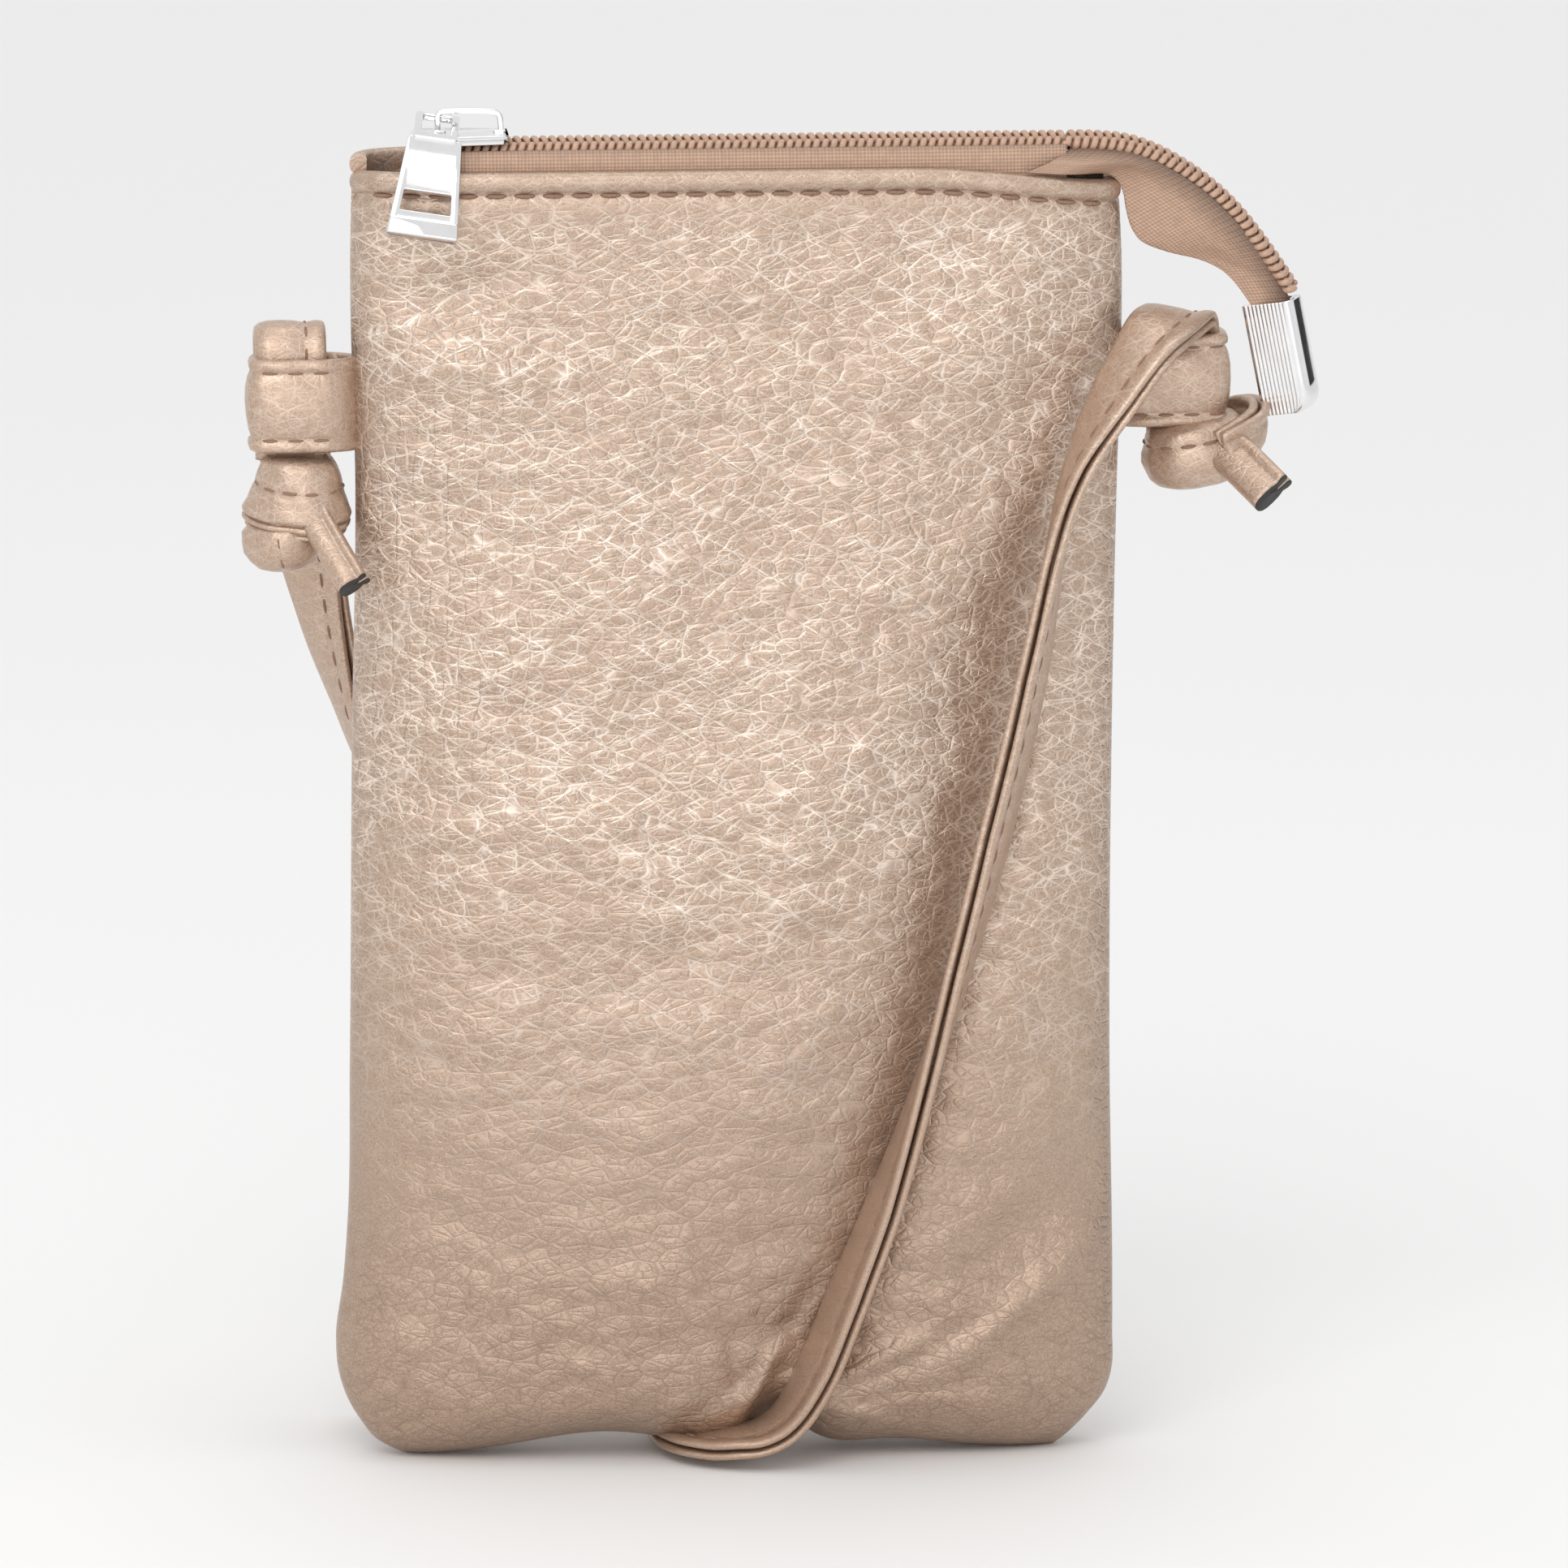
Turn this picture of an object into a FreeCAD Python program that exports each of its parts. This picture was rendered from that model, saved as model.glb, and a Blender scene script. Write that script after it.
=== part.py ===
"""Phone pouch: a small flat zip pouch of leather-look panels on a knotted shoulder strap.

Frame: +Z up, the front faces -Y, +X to the right of someone who looks at the front.
The origin is the middle of the base, on the surface that the pouch stands on.
Lengths are millimetres and angles degrees.
"""
import FreeCAD
import Part
import math
import os
import re

Vector = FreeCAD.Vector
Rotation = FreeCAD.Rotation

doc = FreeCAD.newDocument("phone_pouch")
sheet = doc.addObject("Spreadsheet::Sheet", "sizes")

# Driving dimensions, by the piece that they belong to
SIZES = {
    # Pouch
    "pouch_width": 110.0,
    "pouch_height": 183.0,
    "belly_depth": 26.0,
    "mouth_depth": 14.2,
    "base_depth": 17.0,
    "front_relief": 2.4,
    "leather_thickness": 1.2,
    "arch_width": 54.0,
    "arch_height": 7.0,
    "arch_centre_x": 3.0,
    "hem_height": 3.2,
    "hem_raise": 0.5,
    "lining_thickness": 0.5,
    "lining_clearance": 0.3,
    "lining_drop": 11.0,
    # Stitches
    "stitch_pitch": 4.0,
    "stitch_length": 2.7,
    "stitch_thickness": 0.5,
    "stitch_edge": 0.7,
    "stitch_gap": 0.05,
    "tab_stitch_edge": 1.8,
    # Zip
    "zip_rise": 4.0,
    "coil_height": 2.0,
    "coil_width": 1.9,
    "coil_slot": 1.4,
    "coil_pitch": 1.75,
    "coil_tooth_depth": 0.45,
    "tape_thickness": 0.6,
    "tape_half_span": 5.3,
    "tape_overlap": 9.0,
    "zip_left_inset": 5.4,
    "zip_right_inset": 8.6,
    # Slider
    "slider_inset": 4.4,
    "slider_length": 13.6,
    "slider_width": 8.6,
    "slider_plate": 0.8,
    "slider_clearance": 0.25,
    "slider_lip_width": 1.2,
    "slider_lip_gap": 0.35,
    "slider_web_width": 0.8,
    "slider_web_length": 3.0,
    "bail_inset": 3.2,
    "bail_length": 9.8,
    "bail_bar": 0.9,
    "bail_width": 1.2,
    "bail_window": 2.6,
    # Pull
    "pull_axis_height": 1.5,
    "pull_thickness": 1.1,
    "eye_width": 6.2,
    "eye_bar_width": 1.05,
    "eye_bar_inner": 1.0,
    "eye_bar_depth": 0.7,
    "eye_neck": 6.2,
    "eye_opening_reach": 4.3,
    "eye_angle": 10.0,
    "pull_top_width": 7.5,
    "pull_end_width": 10.0,
    "pull_length": 14.4,
    "pull_angle": 64.0,
    "pull_slot_width": 7.0,
    "pull_slot_height": 3.0,
    "pull_slot_from_knee": 7.6,
    "pull_end_height": 2.4,
    "pull_end_thickness": 2.4,
    # Tail
    "tail_gap": 0.9,
    "tail_reach": 31.6,
    "tail_drop": 21.8,
    "tail_tape_offset": 0.3,
    "clip_width": 7.7,
    "clip_length": 16.0,
    "clip_thickness": 4.7,
    "clip_wall": 0.8,
    "clip_spine": 1.3,
    "clip_set_in": 3.1,
    "clip_set_down": 1.3,
    "clip_tilt": 11.0,
    "clip_yaw": 30.0,
    # Tabs
    "tab_length": 15.3,
    "tab_height": 13.2,
    "tab_thickness": 8.4,
    "tab_wall": 1.6,
    "tab_round": 3.0,
    "tab_gap": 0.4,
    "left_tab_drop": 38.6,
    "right_tab_drop": 36.4,
    # Strap
    "strap_width": 10.0,
    "strap_thickness": 4.0,
    "knot_height": 14.0,
    "knot_radius": 7.4,
    "tip_length": 11.0,
    "tip_width": 6.0,
    "left_tip_tilt": 42.0,
    "left_tip_forward": 52.0,
    "right_tip_tilt": 52.0,
    "right_tip_forward": 20.0,
    "hank_depth_y": 20.4,
    "hank_middle_x": -6.0,
    "hank_start_z": 17.0,
    "hank_fold_radius": 11.0,
    "hank_floor_gap": 0.3,
    "hank_waist_z": 66.0,
    "hank_waist_pitch": 5.8,
    "hank_inner_top_z": 126.0,
    "hank_outer_top_z": 129.0,
    "hank_end_x": -53.0,
    "hank_end_z": 118.0,
    "tie_height": 7.0,
    "tie_thickness": 0.8,
    "tie_clearance": 0.5,
    # Cuts
    "overrun": 30.0,
}

# Levels and places that follow from the driving dimensions
DERIVED = (
    ("zip_level", "pouch_height + zip_rise"),
    ("zip_left_end", "pouch_width / 2 - zip_left_inset"),
    ("zip_right_end", "pouch_width / 2 - zip_right_inset"),
    ("slider_left", "zip_left_end - slider_inset"),
    ("tail_start", "zip_right_end + tail_gap"),
    ("clip_top_x", "tail_start + tail_reach - clip_set_in"),
    ("clip_top_z", "zip_level - tail_drop - clip_set_down"),
    ("left_tab_base", "pouch_height - left_tab_drop"),
    ("right_tab_base", "pouch_height - right_tab_drop"),
)

# Shape of the pouch from the base to the mouth, as shares: height of the station, width of the
# pouch there, depth between the mouth's (0) and the belly's (1), and depth at the side shoulders.
# The base station takes its depth from base_depth.
STATION_SHARES = (
    (0.00, 0.850, None, 0.80),
    (0.04, 0.960, 0.62, 0.66),
    (0.11, 1.005, 0.92, 0.58),
    (0.23, 1.003, 0.99, 0.56),
    (0.35, 1.000, 1.00, 0.56),
    (0.47, 0.997, 0.96, 0.57),
    (0.59, 0.993, 0.87, 0.59),
    (0.71, 0.991, 0.62, 0.66),
    (0.82, 0.989, 0.29, 0.80),
    (0.90, 0.987, 0.10, 0.90),
    (0.95, 0.987, 0.03, 0.93),
    (1.00, 0.986, 0.00, 0.95),
)
# Relief of the front at each station, as shares of half the pouch's width and of front_relief: the
# strap's valley from the base up to the right, and soft swellings beside it
RELIEF_SHARES = (
    ((-0.70, 0.0), (-0.35, 0.0), (-0.08, 0.0), (0.16, 0.0), (0.50, 0.0)),
    ((-0.70, 0.0), (-0.35, 0.0), (-0.08, 0.0), (0.16, -0.4), (0.50, 0.0)),
    ((-0.70, 0.0), (-0.32, 0.0), (0.02, 0.0), (0.29, -0.8), (0.60, 0.2)),
    ((-0.70, 0.0), (-0.28, 0.1), (0.14, 0.0), (0.43, -1.0), (0.70, 0.0)),
    ((-0.70, 0.0), (-0.24, 0.1), (0.24, 0.0), (0.54, -1.0), (0.78, -0.1)),
    ((-0.70, 0.0), (-0.20, 0.1), (0.34, 0.0), (0.64, -1.0), (0.84, -0.3)),
    ((-0.70, 0.0), (-0.16, 0.1), (0.42, 0.0), (0.73, -1.0), (0.87, -0.6)),
    ((-0.70, 0.0), (-0.20, 0.0), (0.40, 0.1), (0.68, -0.4), (0.84, -0.8)),
    ((-0.72, 0.1), (-0.40, 0.0), (0.05, 0.0), (0.45, 0.1), (0.78, -0.2)),
    ((-0.74, -0.1), (-0.45, 0.0), (0.00, 0.0), (0.40, 0.0), (0.75, 0.0)),
    ((-0.74, 0.0), (-0.45, 0.0), (0.00, 0.0), (0.40, 0.0), (0.75, 0.0)),
    ((-0.74, 0.0), (-0.45, 0.0), (0.00, 0.0), (0.40, 0.0), (0.75, 0.0)),
)
END_ROUND_SHARE = 0.55
TRIM_SHARE = 0.45

# Route of the strap from the right knot, through its loop, over the front and under the base, as far
# as the put-away length
FRONT_ROUTE = (
    (63.4, 0.0, 146.2),
    (63.4, 0.0, 162.6),
    (62.4, -8.4, 162.2),
    (57.6, -11.4, 153.0),
    (50.6, -12.4, 141.0),
    (45.2, -13.6, 126.0),
    (40.6, -15.2, 108.0),
    (36.2, -16.0, 90.0),
    (32.0, -16.4, 71.0),
    (26.0, -16.6, 49.0),
    (19.2, -16.4, 29.0),
    (13.0, -16.4, 13.6),
    (7.6, -12.6, 3.2),
    (0.8, -1.0, 2.4),
    (-3.4, 7.2, 2.5),
    (-5.4, 14.8, 3.8),
    (-6.0, 20.4, 9.6),
)

# Route of the strap from the put-away length, up behind the left loop and down into it
BACK_ROUTE = (
    (-53.0, 20.4, 125.0),
    (-58.6, 13.6, 138.0),
    (-62.6, 9.0, 150.0),
    (-63.4, 8.4, 160.4),
    (-63.4, 0.0, 160.6),
    (-63.4, 0.0, 144.0),
)

# Middle line of the free zip end past the fixed rows of the zip, as shares of its reach and drop
TAIL_LINE_SHARES = ((0.316, 0.037), (0.611, 0.294), (0.829, 0.638), (1.0, 1.0))
# Upper and lower edges of the tapes that hang under the free zip end, as shares of its reach and drop
TAIL_UPPER_SHARES = ((0.288, 0.110), (0.611, 0.394), (0.953, 1.027))
TAIL_LOWER_SHARES = ((0.763, 1.046), (0.503, 0.835), (0.288, 0.578))

# Profile of a stopper knot, as shares of its radius and height, from the top down
KNOT_SHARES = (
    (0.0, 0.0),
    (0.72, 0.0),
    (1.0, 0.24),
    (1.0, 0.52),
    (0.78, 0.62),
    (0.92, 0.78),
    (0.62, 1.0),
    (0.0, 1.0),
)

SIZE_NAMES = set()
row_number = 0
for alias, value in SIZES.items():
    row_number += 1
    sheet.set("A%d" % row_number, alias)
    sheet.set("B%d" % row_number, repr(value))
    sheet.setAlias("B%d" % row_number, alias)
    SIZE_NAMES.add(alias)
for alias, text in DERIVED:
    row_number += 1
    sheet.set("A%d" % row_number, alias)
    sheet.set("B%d" % row_number, "=" + text)
    sheet.setAlias("B%d" % row_number, alias)
    SIZE_NAMES.add(alias)
doc.recompute()

NODES = []


def size(alias):
    """Value of a driving dimension."""
    return float(sheet.get(alias))


def formula(text):
    """An expression whose size names point at the sheet."""

    def pointed(word):
        return "sizes." + word[0] if word[0] in SIZE_NAMES else word[0]

    return re.sub(r"[a-z][a-z_]+", pointed, text)


def bind(obj, **properties):
    """Bind properties to formulas; two underscores in a name stand for a dot."""
    for name, text in properties.items():
        obj.setExpression(name.replace("__", "."), formula(text))


def node(obj, name):
    """Name a finished piece of the assembly."""
    obj.Label = name
    NODES.append(obj)
    return obj


def shaped(name, shape):
    """A piece whose shape is worked out from the sizes."""
    piece = doc.addObject("Part::Feature", name)
    piece.Shape = shape
    return node(piece, name)


def block(name, low, high):
    """A box between two corners given as formulas."""
    box = doc.addObject("Part::Box", name)
    bind(box, Length="(%s) - (%s)" % (high[0], low[0]), Width="(%s) - (%s)" % (high[1], low[1]))
    bind(box, Height="(%s) - (%s)" % (high[2], low[2]))
    bind(box, Placement__Base__x=low[0], Placement__Base__y=low[1], Placement__Base__z=low[2])
    return box


def cut(name, base, tool):
    """One solid less another."""
    result = doc.addObject("Part::Cut", name)
    result.Base = base
    result.Tool = tool
    return result


def fuse(name, shapes):
    """Several solids made one."""
    result = doc.addObject("Part::MultiFuse", name)
    result.Shapes = shapes
    return result


def turn_about_x(obj, angle):
    """Tilt a finished solid about X by a formula."""
    obj.Placement = FreeCAD.Placement(Vector(), Rotation(Vector(1, 0, 0), 1))
    bind(obj, Placement__Rotation__Angle=angle)


# Pouch


def station(index, inset):
    """Closed outline of the pouch at a station, drawn in by an inset."""
    height_share, width_share, swell_share, shoulder_share = STATION_SHARES[index]
    mouth = size("mouth_depth")
    depth = size("base_depth")
    if swell_share is not None:
        depth = mouth + swell_share * (size("belly_depth") - mouth)
    shoulder = shoulder_share * depth / 2 - inset
    middle = depth / 2 - inset
    side = width_share * size("pouch_width") / 2 - inset
    corner = side - END_ROUND_SHARE * shoulder
    return height_share * size("pouch_height"), side, corner, middle, shoulder


def front_line(index, z, corner, middle, shoulder):
    """The front edge of an outline: an arc with the station's relief, from the left to the right."""
    rise = middle - shoulder
    radius = (corner * corner + rise * rise) / (2 * rise)
    points = [Vector(-corner, -shoulder, z)]
    for place_share, relief_share in RELIEF_SHARES[index]:
        x = place_share * size("pouch_width") / 2
        depth = middle - radius + math.sqrt(radius * radius - x * x)
        points.append(Vector(x, -depth - relief_share * size("front_relief"), z))
    points.append(Vector(corner, -shoulder, z))
    curve = Part.BSplineCurve()
    curve.interpolate(points)
    return curve


def outline(index, z, side, corner, middle, shoulder):
    """Wire of a front with its relief and three arcs: right side, back and left side."""
    front_left = Vector(-corner, -shoulder, z)
    front_right = Vector(corner, -shoulder, z)
    back_right = Vector(corner, shoulder, z)
    back_left = Vector(-corner, shoulder, z)
    edges = (
        front_line(index, z, corner, middle, shoulder),
        Part.Arc(front_right, Vector(side, 0, z), back_right),
        Part.Arc(back_right, Vector(0, middle, z), back_left),
        Part.Arc(back_left, Vector(-side, 0, z), front_left),
    )
    return Part.Wire([edge.toShape() for edge in edges])


def pouch_form(inset, floor, top):
    """Solid form of the pouch drawn in by an inset, from a floor level up to a top level."""
    wires = []
    for index in range(len(STATION_SHARES)):
        z, side, corner, middle, shoulder = station(index, inset)
        if index == 0:
            z = floor
        wires.append(outline(index, z, side, corner, middle, shoulder))
    form = Part.makeLoft(wires, True, False)
    lid = Part.makeBox(size("pouch_width") * 2, size("pouch_width") * 2, size("overrun") * 2)
    lid.translate(Vector(-size("pouch_width"), -size("pouch_width"), top))
    return form.cut(lid)


def arch_form(growth):
    """The hollow under the base where the strap passes, grown by a wall."""
    half = size("arch_width") / 2 + growth
    rise = size("arch_height") + growth
    reach = size("belly_depth")
    middle = size("arch_centre_x")
    left = Vector(middle - half, -reach, 0)
    right = Vector(middle + half, -reach, 0)
    crown = Part.Arc(left, Vector(middle, -reach, rise), right).toShape()
    face = Part.Face(Part.Wire([crown, Part.makeLine(right, left)]))
    return face.extrude(Vector(0, reach * 2, 0))


def halves(shape):
    """Front and back halves of a shape, parted at the side seams."""
    wide = size("pouch_width")
    tall = size("pouch_height") + size("overrun")
    front = Part.makeBox(wide * 2, wide, tall, Vector(-wide, -wide, 0))
    back = Part.makeBox(wide * 2, wide, tall, Vector(-wide, 0, 0))
    return shape.common(front), shape.common(back)


def hem_ring():
    """The turned-over band round the mouth, a little proud of the panels."""
    index = len(STATION_SHARES) - 1
    top, side, corner, middle, shoulder = station(index, -size("hem_raise"))
    outer = Part.Face(outline(index, top - size("hem_height"), side, corner, middle, shoulder))
    top, side, corner, middle, shoulder = station(index, size("leather_thickness") / 2)
    inner = Part.Face(outline(index, top - size("hem_height"), side, corner, middle, shoulder))
    rise = Vector(0, 0, size("hem_height"))
    return outer.extrude(rise).cut(inner.extrude(rise))


def make_panels():
    wall = size("leather_thickness")
    top = size("pouch_height")
    outer = pouch_form(0, 0, top).cut(arch_form(0))
    inner = pouch_form(wall, wall, top + size("overrun")).cut(arch_form(wall))
    shell = outer.cut(inner).fuse(hem_ring()).removeSplitter()
    front, back = halves(shell)
    shaped("front_panel", front)
    shaped("back_panel", back)


def make_linings():
    inset = size("leather_thickness") + size("lining_clearance")
    deep = inset + size("lining_thickness")
    top = size("pouch_height") - size("lining_drop")
    outer = pouch_form(inset, inset, top).cut(arch_form(inset))
    inner = pouch_form(deep, deep, top + size("overrun")).cut(arch_form(deep))
    front, back = halves(outer.cut(inner))
    shaped("front_lining", front)
    shaped("back_lining", back)


# Zip

COIL_OUTER = "(coil_slot / 2 + coil_width)"


def make_zip_tape(name, sign):
    """Tape from the coil row out past the slider, then down behind the hem."""
    low = "pouch_height - tape_overlap"
    inner = "tape_half_span - tape_thickness"
    flat_low = "zip_level - tape_thickness / 2"
    flat_high = "zip_level + tape_thickness / 2"
    spans = {"inner": inner, "outer": "tape_half_span", "coil": COIL_OUTER}
    if sign < 0:
        upright = ("-(%s)" % spans["outer"], "-(%s)" % spans["inner"])
        level = ("-(%s)" % spans["outer"], "-(%s)" % spans["coil"])
    else:
        upright = (spans["inner"], spans["outer"])
        level = (spans["coil"], spans["outer"])
    left = "-zip_left_end"
    right = "zip_right_end"
    leaf = block(name + "_leaf", (left, upright[0], low), (right, upright[1], flat_high))
    shelf = block(name + "_shelf", (left, level[0], flat_low), (right, level[1], flat_high))
    node(fuse(name, [leaf, shelf]), name)


def make_zip_coil(name, sign):
    """One row of the coil: a strip whose inner edge is toothed."""
    left = -size("zip_left_end")
    right = size("zip_right_end")
    inner = sign * size("coil_slot") / 2
    root = inner + sign * size("coil_tooth_depth")
    outer = inner + sign * size("coil_width")
    low = size("zip_level") - size("coil_height") / 2
    pitch = size("coil_pitch")
    points = [Vector(left, outer, low), Vector(left, root, low)]
    for tooth in range(int((right - left) / pitch)):
        start = left + tooth * pitch
        points.append(Vector(start + pitch / 4, inner, low))
        points.append(Vector(start + pitch / 2, inner, low))
        points.append(Vector(start + pitch * 3 / 4, root, low))
        points.append(Vector(start + pitch, root, low))
    points.append(Vector(right, root, low))
    points.append(Vector(right, outer, low))
    points.append(points[0])
    face = Part.Face(Part.makePolygon(points))
    shaped(name, face.extrude(Vector(0, 0, size("coil_height"))))


def make_slider():
    """Two lipped plates round the coil, joined by the web that parts the rows."""
    left = "-slider_left"
    right = "-slider_left + slider_length"
    half = "slider_width / 2"
    lip = "slider_width / 2 - slider_lip_width"
    under = "zip_level - coil_height / 2 - slider_clearance"
    over = "zip_level + coil_height / 2 + slider_clearance"
    lip_under = "zip_level - tape_thickness / 2 - slider_lip_gap"
    lip_over = "zip_level + tape_thickness / 2 + slider_lip_gap"
    web = "slider_web_width / 2"
    web_right = "-slider_left + slider_web_length"
    pieces = [
        block("slider_top", (left, "-" + half, over), (right, half, over + " + slider_plate")),
        block("slider_bottom", (left, "-" + half, under + " - slider_plate"), (right, half, under)),
        block("slider_web", (left, "-" + web, under), (web_right, web, over)),
        block("lip_top_front", (left, "-" + half, lip_over), (right, "-(%s)" % lip, over)),
        block("lip_top_back", (left, lip, lip_over), (right, half, over)),
        block("lip_low_front", (left, "-" + half, under), (right, "-(%s)" % lip, lip_under)),
        block("lip_low_back", (left, lip, under), (right, half, lip_under)),
    ]
    node(fuse("zip_slider_body", pieces), "zip_slider_body")
    seat = over + " + slider_plate"
    crown = seat + " + bail_window + bail_bar"
    start = "-slider_left + bail_inset"
    end = "-slider_left + bail_inset + bail_length"
    hoop = block("bail_hoop", (start, "-bail_width / 2", seat), (end, "bail_width / 2", crown))
    gap = block(
        "bail_gap",
        (start + " + bail_bar", "-bail_width", seat + " - bail_bar"),
        (end + " - bail_bar", "bail_width", crown + " - bail_bar"),
    )
    node(cut("zip_slider_bail", hoop, gap), "zip_slider_bail")


def make_pull():
    """Cast pull: an eye round the left leg of the bail, then a slotted plate in front of the hem."""
    eye = block(
        "eye_plate",
        ("-eye_width / 2", "-eye_neck", "-pull_thickness / 2"),
        ("eye_width / 2", "eye_bar_inner + eye_bar_depth", "pull_thickness / 2"),
    )
    opening = block(
        "eye_opening",
        ("-eye_width / 2 + eye_bar_width", "-eye_opening_reach", "-pull_thickness"),
        ("eye_width / 2 - eye_bar_width", "eye_bar_inner", "pull_thickness"),
    )
    frame = cut("eye_frame", eye, opening)
    turn_about_x(frame, "eye_angle")
    plate = doc.addObject("Part::Wedge", "pull_plate")
    bind(plate, Ymin="0", Ymax="pull_length", Zmin="-pull_thickness / 2", Zmax="pull_thickness / 2")
    bind(plate, Xmin="-pull_top_width / 2", Xmax="pull_top_width / 2")
    bind(plate, X2min="-pull_end_width / 2", X2max="pull_end_width / 2")
    bind(plate, Z2min="-pull_thickness / 2", Z2max="pull_thickness / 2")
    foot = block(
        "pull_foot",
        ("-pull_end_width / 2", "pull_length - pull_end_height", "-pull_end_thickness / 2"),
        ("pull_end_width / 2", "pull_length", "pull_end_thickness / 2"),
    )
    slot = block(
        "pull_slot",
        ("-pull_slot_width / 2", "pull_slot_from_knee", "-pull_end_thickness"),
        ("pull_slot_width / 2", "pull_slot_from_knee + pull_slot_height", "pull_end_thickness"),
    )
    blade = cut("pull_blade", fuse("pull_solid", [plate, foot]), slot)
    turn_about_x(blade, "180 + pull_angle")
    bind(blade, Placement__Base__y="-eye_neck * cos(eye_angle) + pull_thickness / 2")
    bind(blade, Placement__Base__z="-eye_neck * sin(eye_angle)")
    pull = node(fuse("zip_pull_tab", [frame, blade]), "zip_pull_tab")
    bind(pull, Placement__Base__x="-slider_left + bail_inset + bail_bar / 2")
    axis = "zip_level + coil_height / 2 + slider_clearance + slider_plate + pull_axis_height"
    bind(pull, Placement__Base__z=axis)


# Paths of straight runs and tangent arcs


def rounded_path(points):
    """Wire along points whose corners are arcs as large as the runs allow, with the arc radii."""
    edges = []
    radii = []
    start = points[0]
    for before, point, after in zip(points, points[1:], points[2:]):
        back = before - point
        ahead = after - point
        trim = TRIM_SHARE * min(back.Length, ahead.Length)
        turn = math.pi - back.getAngle(ahead)
        back.normalize()
        ahead.normalize()
        radius = trim / math.tan(turn / 2)
        bisector = back + ahead
        bisector.normalize()
        crown = point + bisector * (radius / math.cos(turn / 2) - radius)
        arc_start = point + back * trim
        arc_end = point + ahead * trim
        edges.append(Part.makeLine(start, arc_start))
        edges.append(Part.Arc(arc_start, crown, arc_end).toShape())
        radii.append(radius)
        start = arc_end
    edges.append(Part.makeLine(start, points[-1]))
    return Part.Wire(edges), radii


def rectangle(centre, first, second):
    """Closed rectangle about a centre, from two half-side vectors."""
    low = centre - second
    high = centre + second
    corners = [low - first, low + first, high + first, high - first]
    return Part.makePolygon(corners + corners[:1])


def ribbon(path, section, across):
    """A flat section carried along a path, with its width kept along one direction."""
    shell = Part.BRepOffsetAPI.MakePipeShell(path)
    shell.setBiNormalMode(across)
    shell.add(section)
    shell.build()
    shell.makeSolid()
    return shell.shape()


def report_ribbon(name, solid, path, radii, area):
    """Print the least bend and how the volume compares with the section times the length."""
    share = solid.Volume / (area * path.Length)
    least = min(radii)
    print("%s length %.1f least radius %.2f volume share %.3f" % (name, path.Length, least, share))


# Free zip end


def make_tail():
    """Free end of the zip past the mouth, its two tapes and the clip crimped on it."""

    def at(reach_share, drop_share, y):
        x = size("tail_start") + reach_share * size("tail_reach")
        return Vector(x, y, size("zip_level") - drop_share * size("tail_drop"))

    start = at(0, 0, 0)
    points = [start] + [at(reach_share, drop_share, 0) for reach_share, drop_share in TAIL_LINE_SHARES]
    path, radii = rounded_path(points)
    half_depth = size("coil_slot") / 2 + size("coil_width")
    section = rectangle(start, Vector(0, half_depth, 0), Vector(0, 0, size("coil_height") / 2))
    coil = ribbon(path, section, Vector(0, 1, 0))
    report_ribbon("zip_tail_coil", coil, path, radii, half_depth * 2 * size("coil_height"))
    shaped("zip_tail_coil", coil)
    for name, sign in (("front_zip_tail_tape", -1), ("back_zip_tail_tape", 1)):
        near = sign * size("tail_tape_offset")
        upper = [at(reach_share, drop_share, near) for reach_share, drop_share in TAIL_UPPER_SHARES]
        lower = [at(reach_share, drop_share, near) for reach_share, drop_share in TAIL_LOWER_SHARES]
        edges = [
            Part.Arc(*upper).toShape(),
            Part.makeLine(upper[-1], lower[0]),
            Part.Arc(*lower).toShape(),
            Part.makeLine(lower[-1], upper[0]),
        ]
        face = Part.Face(Part.Wire(edges))
        shaped(name, face.extrude(Vector(0, sign * size("tape_thickness"), 0)))
    body = block(
        "clip_body",
        ("-clip_width / 2", "-clip_thickness / 2", "-clip_length"),
        ("clip_width / 2", "clip_thickness / 2", "0"),
    )
    slot = block(
        "clip_slot",
        ("-clip_width", "-clip_thickness / 2 + clip_wall", "-clip_length - clip_wall"),
        ("clip_width / 2 - clip_spine", "clip_thickness / 2 - clip_wall", "clip_wall"),
    )
    clip = node(cut("zip_end_clip", body, slot), "zip_end_clip")
    lean = Rotation(Vector(0, 1, 0), -size("clip_tilt"))
    yaw = Rotation(Vector(0, 0, 1), -size("clip_yaw"))
    clip.Placement = FreeCAD.Placement(Vector(), lean.multiply(yaw))
    bind(clip, Placement__Base__x="clip_top_x", Placement__Base__z="clip_top_z")


# Strap loops in the side seams

TAB_ROOT = "(pouch_width * %s / 2 + tab_gap)" % STATION_SHARES[4][1]


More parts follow.
